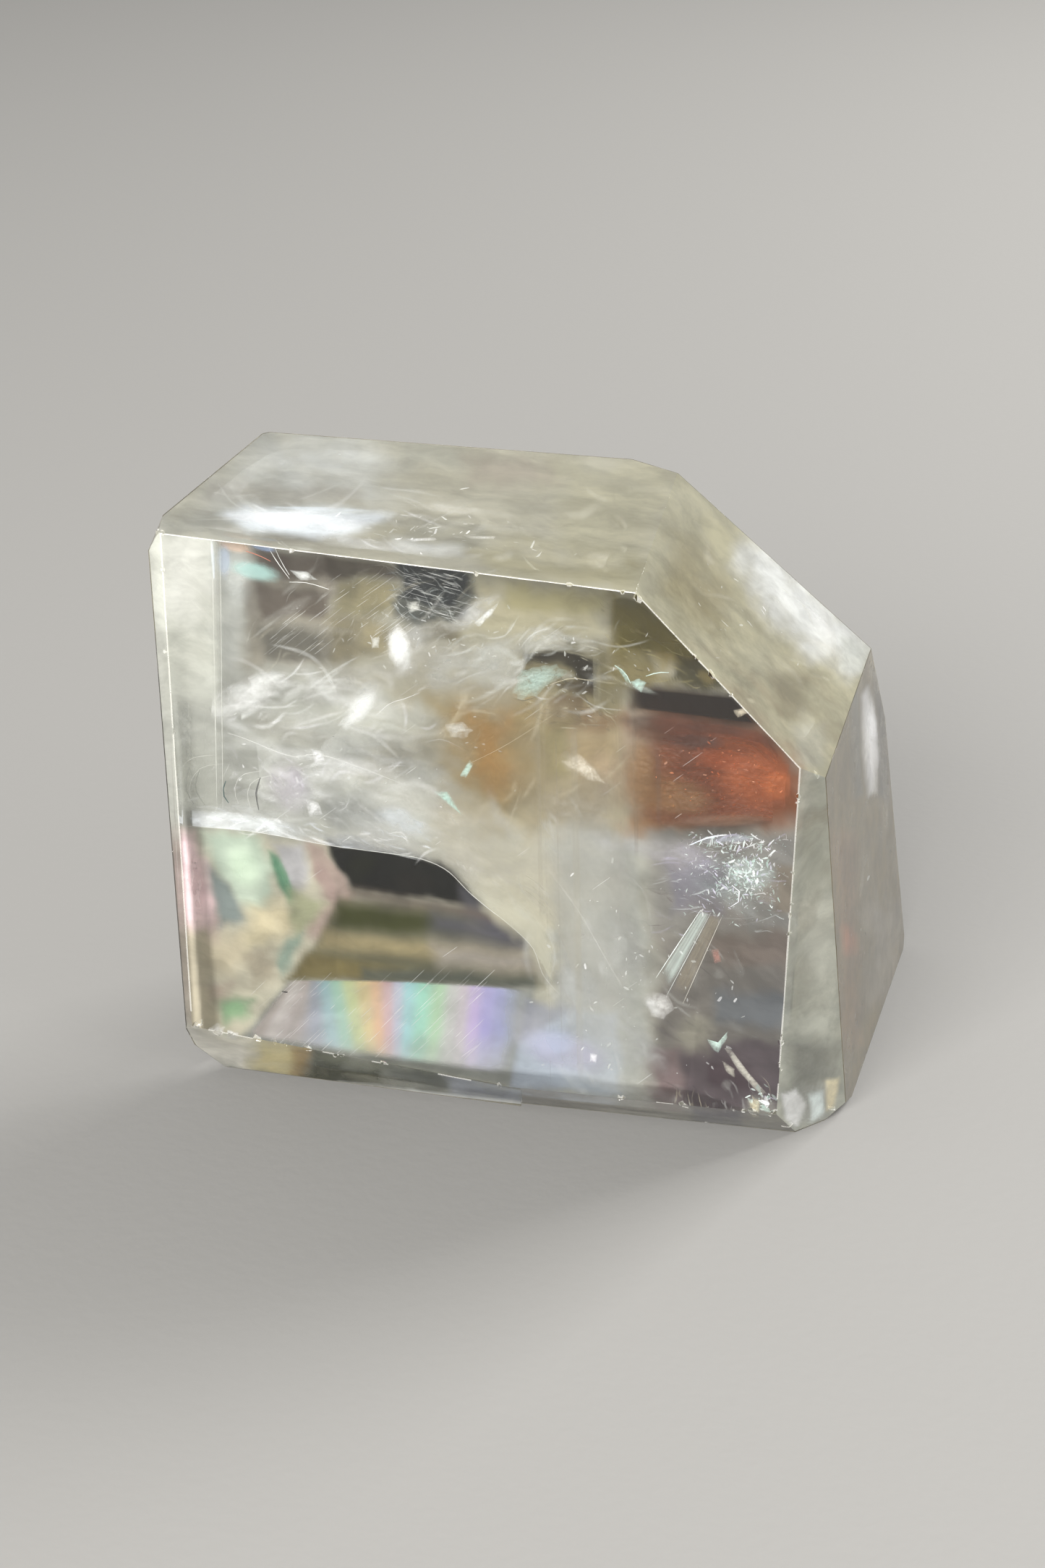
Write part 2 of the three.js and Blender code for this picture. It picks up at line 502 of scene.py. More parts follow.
    def done(self, material, smooth=True, shades=False):
        """Writes the gathered mesh as one piece riding on the block. Fine bright features shade nothing behind them."""
        mesh = bpy.data.meshes.new(self.name)
        self.work.to_mesh(mesh)
        self.work.free()
        for face in mesh.polygons:
            face.use_smooth = smooth
        mesh.materials.append(material)
        piece = bpy.data.objects.new(self.name, mesh)
        bpy.context.scene.collection.objects.link(piece)
        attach(piece, BODY)
        piece.visible_shadow = shades


# ---------------------------------------------------------------- finishes
# The sheets' patterns count in their grain coordinates, which are millimetres: a Scale of 0.25 has patches about
# 4 mm wide. The block's own patterns count in metres: a Scale of 250 does the same there. The finest of them,
# marked so, are drawn coarser than real ones, which would not show.
SMOOTH = {"interpolation_type": "SMOOTHSTEP"}
CLEAR = (1.0, 1.0, 1.0, 1.0)


def add(tree, kind, values=None, output=0):
    """Adds a node with its settings, the values of its inputs and, where a socket is given, its links. Gives one of
    its outputs."""
    made = tree.nodes.new(kind)
    for key, value in (values or {}).items():
        if isinstance(value, bpy.types.NodeSocket):
            tree.links.new(value, made.inputs[key])
        elif isinstance(key, int) or key in made.inputs:
            made.inputs[key].default_value = value
        else:
            setattr(made, key, value)
    return made.outputs[output] if made.outputs else None


def blank(name):
    material = bpy.data.materials.new(name)
    material.use_nodes = True
    material.node_tree.nodes.clear()
    return material, material.node_tree


def stone(name, settings, pattern, bump):
    """Solid see-through stone, cream-olive where light crosses much of it. pattern gives its surface's height and
    any inputs that follow it."""
    block = bpy.context.scene.calcite_block
    material, tree = blank(name)
    height, followed = pattern(tree, add(tree, "ShaderNodeTexCoord", output="Object"))
    normal = add(tree, "ShaderNodeBump", {**bump, "Height": height})
    surface = add(tree, "ShaderNodeBsdfPrincipled", {"IOR": block.ior, **settings, **followed, "Normal": normal})
    volume = add(tree, "ShaderNodeVolumeAbsorption", {"Color": linear(block.body_colour), "Density": block.density})
    add(tree, "ShaderNodeOutputMaterial", {"Surface": surface, "Volume": volume})
    return material


def polished_calcite():
    """Clear optical calcite, hand polished on felt: a wet-looking clear face with the faint waviness
    and hair scratches that polishing a soft stone leaves."""
    block = bpy.context.scene.calcite_block

    def pattern(tree, place):
        # Scratches 0.3 mm apart and 5 mm long, about six times as coarse as real ones, on waves 6 mm apart.
        lines = add(tree, "ShaderNodeMapping", {"Scale": (3200, 500, 190), "Rotation": (0, math.radians(42), 0),
                                                "Vector": place})
        scratch = add(tree, "ShaderNodeTexNoise", {"Scale": 1.0, "Detail": 2.0, "Vector": lines})
        cut = add(tree, "ShaderNodeMapRange", {**SMOOTH, 0: scratch, 1: 0.66, 2: 0.74})
        wave = add(tree, "ShaderNodeTexNoise", {"Scale": 170.0, "Detail": 1.0, "Vector": place})
        return add(tree, "ShaderNodeMath", {"operation": "MULTIPLY_ADD", 0: cut, 1: -0.02, 2: wave}), {}

    clear = {"Base Color": CLEAR, "Transmission Weight": 1.0, "Roughness": block.polish}
    return stone("polished_calcite", clear, pattern, {"Strength": block.waviness, "Distance": 0.0004})


def ground_edge():
    """The same stone where the facets meet, ground by hand and left matt: a fine frosted white line."""

    def pattern(tree, place):
        # Grinding marks 0.25 mm wide, about five times as coarse as real ones.
        grit = add(tree, "ShaderNodeTexNoise", {"Scale": 4000.0, "Detail": 3.0, "Vector": place})
        return grit, {"Roughness": add(tree, "ShaderNodeMapRange", {**SMOOTH, 0: grit, 1: 0.3, 2: 0.7, 3: 0.2, 4: 0.5})}

    return stone("ground_edge_calcite", {"Base Color": linear("#f4f2ea"), "Transmission Weight": 0.7},
                 pattern, {"Strength": 0.5, "Distance": 0.00006})


def sheet_finish(name, alpha_of, roughness, through, shine=0.5, bump_size=0.0, bump_strength=0.0, colour_of=None,
                 tear=0.3):
    """A thin sealed sheet: part matt white, part light from behind, the rest clear where alpha_of says so. tear is
    how raggedly it ends at its rim, in tears about 2 mm wide."""
    material, tree = blank(name)
    grain, tint, opacity, rim = (
        add(tree, "ShaderNodeAttribute", {"attribute_name": layer}, output)
        for layer, output in (("grain", "Vector"), ("tint", "Color"), ("opacity", "Fac"), ("edge", "Fac"))
    )
    whole = rim
    if tear:
        ragged = add(tree, "ShaderNodeTexNoise", {"Scale": 0.45, "Detail": 3.0, "Roughness": 0.6, "Vector": grain})
        low = add(tree, "ShaderNodeMath", {"operation": "SUBTRACT", 0: rim, 1: tear / 2})
        torn = add(tree, "ShaderNodeMath", {"operation": "MULTIPLY_ADD", 0: ragged, 1: tear, 2: low})
        torn = add(tree, "ShaderNodeMapRange", {**SMOOTH, 0: torn, 1: 0.02, 2: 0.9})
        held = add(tree, "ShaderNodeMapRange", {**SMOOTH, 0: rim, 1: 0.0, 2: 0.2})
        whole = add(tree, "ShaderNodeMath", {"operation": "MULTIPLY", 0: torn, 1: held})
    alpha = add(tree, "ShaderNodeMath", {"operation": "MULTIPLY", 0: alpha_of(tree, grain, opacity), 1: whole})
    alpha = add(tree, "ShaderNodeMath", {"operation": "MINIMUM", 0: alpha, 1: 1.0})
    colour = colour_of(tree, grain, tint) if colour_of else tint
    relief = {}
    if bump_strength:
        grit = add(tree, "ShaderNodeTexNoise", {"Scale": 1 / bump_size, "Detail": 1.0, "Vector": grain})
        relief["Normal"] = add(tree, "ShaderNodeBump", {"Strength": bump_strength, "Distance": 0.0006, "Height": grit})
    front = add(tree, "ShaderNodeBsdfPrincipled",
                {"Roughness": roughness, "Specular IOR Level": shine, "Base Color": colour, **relief})
    back = add(tree, "ShaderNodeBsdfTranslucent", {"Color": colour, **relief})
    body = add(tree, "ShaderNodeMixShader", {0: through, 1: front, 2: back})
    seen = add(tree, "ShaderNodeMixShader", {0: alpha, 1: add(tree, "ShaderNodeBsdfTransparent"), 2: body})
    add(tree, "ShaderNodeOutputMaterial", {"Surface": seen})
    return material


def flow(tree, grain, scale, size=0.0, reach=0.0):
    """Grain coordinates drawn out by scale, and first, if size is given, pushed about by slow noise, so that no band
    runs straight."""
    if size:
        slow = add(tree, "ShaderNodeTexNoise", {"Scale": 1 / size, "Detail": 2.0, "Vector": grain}, "Color")
        centred = add(tree, "ShaderNodeVectorMath", {"operation": "SUBTRACT", 0: slow, 1: (0.5, 0.5, 0.5)})
        pushed = add(tree, "ShaderNodeVectorMath", {"operation": "SCALE", 0: centred, "Scale": reach})
        grain = add(tree, "ShaderNodeVectorMath", {"operation": "ADD", 0: grain, 1: pushed})
    return add(tree, "ShaderNodeVectorMath", {"operation": "MULTIPLY", 0: grain, 1: scale})


def patches(tree, place, pattern, low, high, faint=0.0, full=1.0, of=None):
    """Noise, mapped softly from between low and high to between faint and full, as a share of another value."""
    cloud = add(tree, "ShaderNodeTexNoise", {**pattern, "Vector": place})
    share = add(tree, "ShaderNodeMapRange", {**SMOOTH, 0: cloud, 1: low, 2: high, 3: faint, 4: full})
    return share if of is None else add(tree, "ShaderNodeMath", {"operation": "MULTIPLY", 0: share, 1: of})


def veil_alpha(tree, grain, opacity):
    """Smoke-like billows 3 to 7 mm wide, with filaments drawn out along the sheet 2 mm apart, which is about twice as
    coarse as the finest real ones."""
    billows = patches(tree, flow(tree, grain, (0.5, 1.0, 1.0), 6.0, 4.0),
                      {"Scale": 0.3, "Detail": 4.0, "Roughness": 0.55}, 0.34, 0.68)
    ridges = {"noise_type": "RIDGED_MULTIFRACTAL", "Scale": 0.55, "Detail": 4.0, "Roughness": 0.5, "Offset": 0.9,
              "Gain": 1.2}
    filaments = patches(tree, flow(tree, grain, (0.3, 1.0, 1.0), 3.0, 2.2), ridges, 0.75, 1.6)
    total = add(tree, "ShaderNodeMath", {"operation": "MULTIPLY_ADD", 0: billows, 1: 0.72, 2: 0.12})
    total = add(tree, "ShaderNodeMath", {"operation": "MULTIPLY_ADD", 0: filaments, 1: 0.3, 2: total})
    return add(tree, "ShaderNodeMath", {"operation": "MULTIPLY", 0: total, 1: opacity})


def haze_alpha(tree, grain, opacity):
    """Milky, almost even, in patches 5 to 11 mm wide with the faintest streaks."""
    lines = patches(tree, flow(tree, grain, (0.10, 1.4, 1.0)), {"Scale": 1.0, "Detail": 3.0}, 0.35, 0.7, 0.93, 1.05)
    soft = patches(tree, flow(tree, grain, (0.4, 1.0, 1.0), 9.0, 6.0),
                   {"Scale": 0.22, "Detail": 5.0, "Roughness": 0.55}, 0.3, 0.66, 0.72, 1.0, lines)
    return add(tree, "ShaderNodeMath", {"operation": "MULTIPLY", 0: soft, 1: opacity})


def depth_sheet_alpha(tree, grain, opacity):
    """The depth sheet, solid and hardly broken, in patches 6 mm wide; its dark windows are painted shade."""
    return patches(tree, grain, {"Scale": 0.18, "Detail": 3.0}, 0.25, 0.6, 0.98, 1.0, opacity)


def skin_alpha(tree, grain, opacity):
    """Cloudiness in wisps 4 mm wide and 9 mm long, drawn out sideways."""
    return patches(tree, flow(tree, grain, (0.5, 1.0, 1.2), 7.0, 6.0),
                   {"Scale": 0.22, "Detail": 5.0, "Roughness": 0.62}, 0.34, 0.64, 0.72, 1.06, opacity)


def stain_alpha(tree, grain, opacity):
    """Rust soaked in along bands half a millimetre wide."""
    return patches(tree, flow(tree, grain, (0.35, 2.2, 1.0), 3.0, 1.0),
                   {"Scale": 1.0, "Detail": 5.0, "Roughness": 0.65}, 0.3, 0.62, 0.8, 1.0, opacity)


def film_alpha(tree, grain, opacity):
    """A film that thins out in patches 3 mm wide."""
    return patches(tree, grain, {"Scale": 0.35, "Detail": 3.0}, 0.25, 0.62, 0.7, 1.0, opacity)


def lamella_alpha(tree, grain, opacity):
    """Lines a third of a millimetre wide that run the length of the sheet, about three times as coarse as real."""
    return patches(tree, flow(tree, grain, (0.08, 3.0, 1.0)), {"Scale": 1.0, "Detail": 3.0},
                   0.3, 0.7, 0.5, 1.1, opacity)


def flake_alpha(tree, grain, opacity):
    """Torn and pitted every millimetre or so, as a split flake is."""
    return patches(tree, grain, {"Scale": 0.9, "Detail": 6.0, "Roughness": 0.6}, 0.34, 0.5, 0.35, 1.0, opacity)


def plain_alpha(tree, grain, opacity):
    """Even: too fine a line to show any pattern."""
    return opacity


def stain_colour(tree, grain, tint):
    """Rust in bands 0.4 mm wide, darker and lighter, with glowing spots 0.8 mm apart."""
    lines = patches(tree, flow(tree, grain, (0.5, 2.6, 1.0), 2.0, 1.2), {"Scale": 1.0, "Detail": 6.0, "Roughness": 0.7},
                    0.3, 0.7, 0.78, 1.08)
    spots = add(tree, "ShaderNodeTexVoronoi", {"Scale": 1.3, "Vector": grain}, "Distance")
    glow = add(tree, "ShaderNodeMapRange", {**SMOOTH, 0: spots, 1: 0.05, 2: 0.3, 3: 1.0, 4: 0.0})
    light = add(tree, "ShaderNodeMath", {"operation": "MULTIPLY_ADD", 0: glow, 1: 0.5, 2: lines})
    return add(tree, "ShaderNodeVectorMath", {"operation": "SCALE", 0: tint, "Scale": light})


def cloudy_colour(tree, grain, tint):
    """Cloudy stone: the tint drifts lighter and darker over 3 to 10 mm."""
    light = patches(tree, flow(tree, grain, (0.35, 1.0, 1.0), 5.0, 4.0),
                    {"Scale": 0.3, "Detail": 5.0, "Roughness": 0.62}, 0.34, 0.66, 0.84, 1.16)
    return add(tree, "ShaderNodeVectorMath", {"operation": "SCALE", 0: tint, "Scale": light})


# ---------------------------------------------------------------- settings
class CalciteBlockSettings(bpy.types.PropertyGroup):
    ior: FloatProperty(name="Refraction", description="Index of refraction of the block", default=1.6, min=1.3, max=1.8)
    polish: FloatProperty(name="Polish roughness", description="Roughness of the polished facets", default=0.03,
                          min=0.0, max=1.0, subtype="FACTOR")
    waviness: FloatProperty(name="Waviness", description="Strength of the hand polish's waviness", default=0.06,
                            min=0.0, max=1.0, subtype="FACTOR")
    body_colour: StringProperty(name="Body colour", description="sRGB hex colour the stone tints light to",
                                default="#d6cfa8")
    density: FloatProperty(name="Absorption", description="Absorption density per metre", default=18.0, min=0.0)
    edge: FloatProperty(name="Edge width", description="Setback of the ground edges", default=0.00011, min=0.0,
                        unit="LENGTH", precision=5)
    wear: FloatProperty(name="Edge wear", description="How unevenly the edges are ground", default=0.00005, min=0.0,
                        unit="LENGTH", precision=5)
    chips: IntProperty(name="Small chips", description="Number of small chips along the edges", default=26, min=0)


class CalciteVeilSettings(bpy.types.PropertyGroup):
    strength: FloatProperty(name="Veil strength", description="Scales how solid the white veils are", default=1.0,
                            min=0.0, max=2.0)
    # This scales how solid the depth sheet is, and with it how dark the painted shade of its windows shows.
    depth_and_shade_strength: FloatProperty(name="Depth and shade strength", description="Scales how dark the smoky zones are", default=1.0,
                         min=0.0, max=2.0)
    seed: IntProperty(name="Seed", description="Seed of the strewn flakes", default=11)


class CalciteStageSettings(bpy.types.PropertyGroup):
    floor_colour: StringProperty(name="Floor", description="sRGB hex colour of the floor", default="#8f8d89")
    key_power: FloatProperty(name="Key light", description="Power of the large front softbox", default=17.5, min=0.0,
                             unit="POWER")
    rim_power: FloatProperty(name="Rim light", description="Power of the softbox behind", default=8.0, min=0.0,
                             unit="POWER")
    fill_power: FloatProperty(name="Fill light", description="Power of the softbox at the right", default=1.8, min=0.0,
                              unit="POWER")
    sky: FloatProperty(name="Room light", description="Brightness of the plain surrounding light", default=0.42,
                       min=0.0)


# ---------------------------------------------------------------- the stage
FLOOR_REACH = 3.0
FLOOR_DROP = 0.0001  # a hair below the base, so the two planes don't share a surface
AIM = Vector((0.0, 0.0, 0.025))  # the middle of the block
SOFTBOXES = (
    # name, place, size, setting that gives its power
    ("key_softbox", (-0.14, -0.82, 0.42), (0.7, 0.5), "key_power"),
    ("rim_softbox", (0.42, 0.55, 0.50), (0.35, 0.35), "rim_power"),
    ("fill_softbox", (0.75, -0.30, 0.28), (0.4, 0.5), "fill_power"),
)
BOUNCES = {"max_bounces": 10, "transmission_bounces": 8, "glossy_bounces": 4, "diffuse_bounces": 2,
           "transparent_max_bounces": 48}


class CALCITE_OT_stage(bpy.types.Operator):
    """Sets the camera, the pale floor and the soft lights"""

    bl_idname = "calcite.stage"
    bl_label = "Stage"

    def placed(self, name, data, place, turn):
        """An object with the given data, placed in the scene."""
        holder = bpy.data.objects.new(name, data)
        holder.location = place
        holder.rotation_euler = turn
        bpy.context.scene.collection.objects.link(holder)
        return holder

    def paper(self, colour):
        """Matt paper: a soft, even ground with a barely seen tooth, 1 mm wide so that it shows at all."""
        material, tree = blank("matt_paper_floor")
        place = add(tree, "ShaderNodeTexCoord", output="Object")
        grit = add(tree, "ShaderNodeTexNoise", {"Scale": 900.0, "Detail": 2.0, "Vector": place})
        tooth = add(tree, "ShaderNodeBump", {"Strength": 0.05, "Distance": 0.0005, "Height": grit})
        surface = add(tree, "ShaderNodeBsdfPrincipled",
                      {"Base Color": linear(colour), "Roughness": 0.7, "Normal": tooth})
        add(tree, "ShaderNodeOutputMaterial", {"Surface": surface})
        return material

    def execute(self, context):
        scene = context.scene
        stage = scene.calcite_stage
        camera = bpy.data.cameras.new("view_camera")
        camera.lens = CAMERA_LENS
        camera.sensor_width = SENSOR
        camera.clip_start = NEAREST_SEEN
        scene.camera = self.placed("view_camera", camera, CAMERA_PLACE, (CAMERA_PITCH, 0.0, CAMERA_TURN))

        sheet = bpy.data.meshes.new("floor")
        corners = [(x * FLOOR_REACH, y * FLOOR_REACH, -FLOOR_DROP) for x, y in ((-1, -1), (1, -1), (1, 1), (-1, 1))]
        sheet.from_pydata(corners, [], [(0, 1, 2, 3)])
        sheet.materials.append(self.paper(stage.floor_colour))
        floor = self.placed("floor", sheet, (0, 0, 0), (0, 0, 0))

        world = bpy.data.worlds.new("plain_room")
        world.use_nodes = True
        background = world.node_tree.nodes["Background"]
        background.inputs["Color"].default_value = CLEAR
        background.inputs["Strength"].default_value = stage.sky
        scene.world = world
        for name, place, size, power in SOFTBOXES:
            lamp = bpy.data.lights.new(name, "AREA")
            lamp.shape = "RECTANGLE"
            lamp.size, lamp.size_y = size
            lamp.energy = getattr(stage, power)
            self.placed(name, lamp, place, (AIM - Vector(place)).to_track_quat("-Z", "Y").to_euler())

        scene.view_settings.view_transform = "Standard"
        for name, value in BOUNCES.items():
            setattr(scene.cycles, name, value)
        scene.cycles.caustics_refractive = False
        scene.cycles.caustics_reflective = False
        return {"FINISHED"}


# ---------------------------------------------------------------- the block
CHIPS = (
    # Larger chips along the edges: x, y, size in mm and, where it isn't the front, the facet
    (884, 826, 1.3), (860, 818, 0.8), (788, 808, 0.9), (985, 931, 1.3), (1012, 960, 0.7), (355, 1437, 1.0),
    (380, 1442, 0.9), (425, 1452, 1.1), (462, 1460, 1.0), (530, 1470, 0.8), (272, 1417, 1.6), (300, 1428, 1.2),
    (318, 1431, 0.9), (860, 1519, 0.9), (945, 1529, 1.3), (1042, 1538, 1.5), (1068, 1540, 1.4),
    (1090, 1557, 1.5, "right_bevel"), (1083, 1480, 0.8), (1096, 1250, 0.7), (226, 900, 0.7), (238, 1180, 0.8),
    (225, 735, 0.9, "top"), (1130, 1071, 1.0, "shoulder"), (1150, 1532, 1.2, "right_bevel"),
)
CHIPPED_SIDES = ("front", "front", "foot_left", "foot_right", "right_bevel")  # small chips fall twice as thick in front
CHIPPED_EDGE = 6 * MM  # shorter edges have no small chips
CHIP_SIZES = (0.35, 0.9)  # mm
CHIP_SEED = 5
EDGE_CUTS = 1.6 * MM  # the ground edges are cut into lengths of about this
BROKEN_EDGE = 0.05  # how wide the edges away from the front are ground, as a share of the front's
ON_FRONT = 0.01 * MM  # corners this near the front's plane lie in it
WORN_OFF = 7 * MM  # below this the ground line is broken up


class CALCITE_OT_block(bpy.types.Operator):
    """Builds the polished block with its ground edges and edge chips"""

    bl_idname = "calcite.block"
    bl_label = "Polished block"

    def chip_cutter(self, count, chance):
        """Shallow irregular pebbles along the edges, to be cut away."""
        work = bmesh.new()
        spots = [(on_plane(x, y, FACETS[facet[0] if facet else "front"]), size) for x, y, size, *facet in CHIPS]
        edges = []
        for name in CHIPPED_SIDES:
            corners = FACETS[name][2]
            edges += [(a, b) for a, b in zip(corners, corners[1:] + corners[:1]) if (a - b).length > CHIPPED_EDGE]
        for _ in range(count):
            a, b = chance.choice(edges)
            spots.append((a.lerp(b, chance.uniform(0.05, 0.95)), chance.uniform(*CHIP_SIZES)))
        for place, size in spots:
            made = bmesh.ops.create_icosphere(work, subdivisions=1, radius=1.0)["verts"]
            turn = Euler([chance.uniform(0, 6.28) for _ in range(3)]).to_matrix()
            for vertex in made:
                rough = vertex.co * chance.uniform(0.75, 1.15)
                rough.z *= 0.45
                vertex.co = place + (turn @ rough) * (size * 0.5 * MM)
        mesh = bpy.data.meshes.new("chip_cutter")
        work.to_mesh(mesh)
        work.free()
        return bpy.data.objects.new("chip_cutter", mesh)

    def ground(self, piece, block):
        """Grinds the edges: the front's borders wide and matt, the others only just broken."""
        front_point, front_normal, _corners = FACETS["front"]

        def proud(place):
            return abs((place - front_point).dot(front_normal))

        work = block_facets()
        for edge in list(work.edges):
            cuts = int(edge.calc_length() / EDGE_CUTS)
            if cuts > 0:
                bmesh.ops.subdivide_edges(work, edges=[edge], cuts=cuts)
        weight = work.edges.layers.float.new("bevel_weight_edge")
        for edge in work.edges:
            edge[weight] = 1.0 if all(proud(v.co) < ON_FRONT for v in edge.verts) else BROKEN_EDGE
        work.to_mesh(piece.data)
        work.free()
        bevel = piece.modifiers.new("ground_edges", "BEVEL")
        bevel.limit_method = "WEIGHT"
        bevel.width = block.edge
        bevel.segments = 2
        bevel.material = 1
        work = bmesh.new()
        work.from_mesh(self.applied(piece))
        # The ground edges vary in width: their borders shift within the facet, which stays flat.
        for vertex in work.verts:
            flat = [f for f in vertex.link_faces if f.material_index == 0]
            if len(flat) != 1:
                continue
            normal = flat[0].normal
            inward = flat[0].calc_center_median() - vertex.co
            inward -= normal * inward.dot(normal)
            inward.normalize()
            shift = noise.noise(vertex.co * 420) * 0.7 + noise.noise(vertex.co * 1900) * 0.5
            vertex.co += inward * max(shift, -0.4) * block.wear
        for face in work.faces:
            middle = face.calc_center_median()
            worn_off = middle.z < WORN_OFF and noise.noise(middle * 260) < 0.12
            if worn_off or proud(middle) > 2.5 * block.edge:
                face.material_index = 0
        work.to_mesh(piece.data)
        work.free()

    def applied(self, piece):
        """The piece's mesh with its one modifier applied, which is then removed."""
        mesh = bpy.data.meshes.new_from_object(piece.evaluated_get(bpy.context.evaluated_depsgraph_get()))
        piece.modifiers.clear()
        return mesh

    def execute(self, context):
        block = context.scene.calcite_block
        chance = random.Random(CHIP_SEED)
        piece = bpy.data.objects.new("calcite_block", bpy.data.meshes.new("calcite_block"))
        context.scene.collection.objects.link(piece)
        finishes = (polished_calcite(), ground_edge())
        for finish in finishes:
            piece.data.materials.append(finish)
        self.ground(piece, block)

        cutter = self.chip_cutter(block.chips, chance)
        context.scene.collection.objects.link(cutter)
        for finish in finishes:
            cutter.data.materials.append(finish)
        for face in cutter.data.polygons:
            face.material_index = chance.choice((0, 1, 1))
        cut = piece.modifiers.new("chips", "BOOLEAN")
        cut.operation = "DIFFERENCE"
        cut.solver = "EXACT"
        cut.use_self = True
        cut.object = cutter
        piece.data = self.applied(piece)
        bpy.data.objects.remove(cutter)
        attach(piece, BODY)
        piece.visible_shadow = False  # lamplight goes through clear stone to what is sealed in it
        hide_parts(BLOCK_NODE)
        return {"FINISHED"}


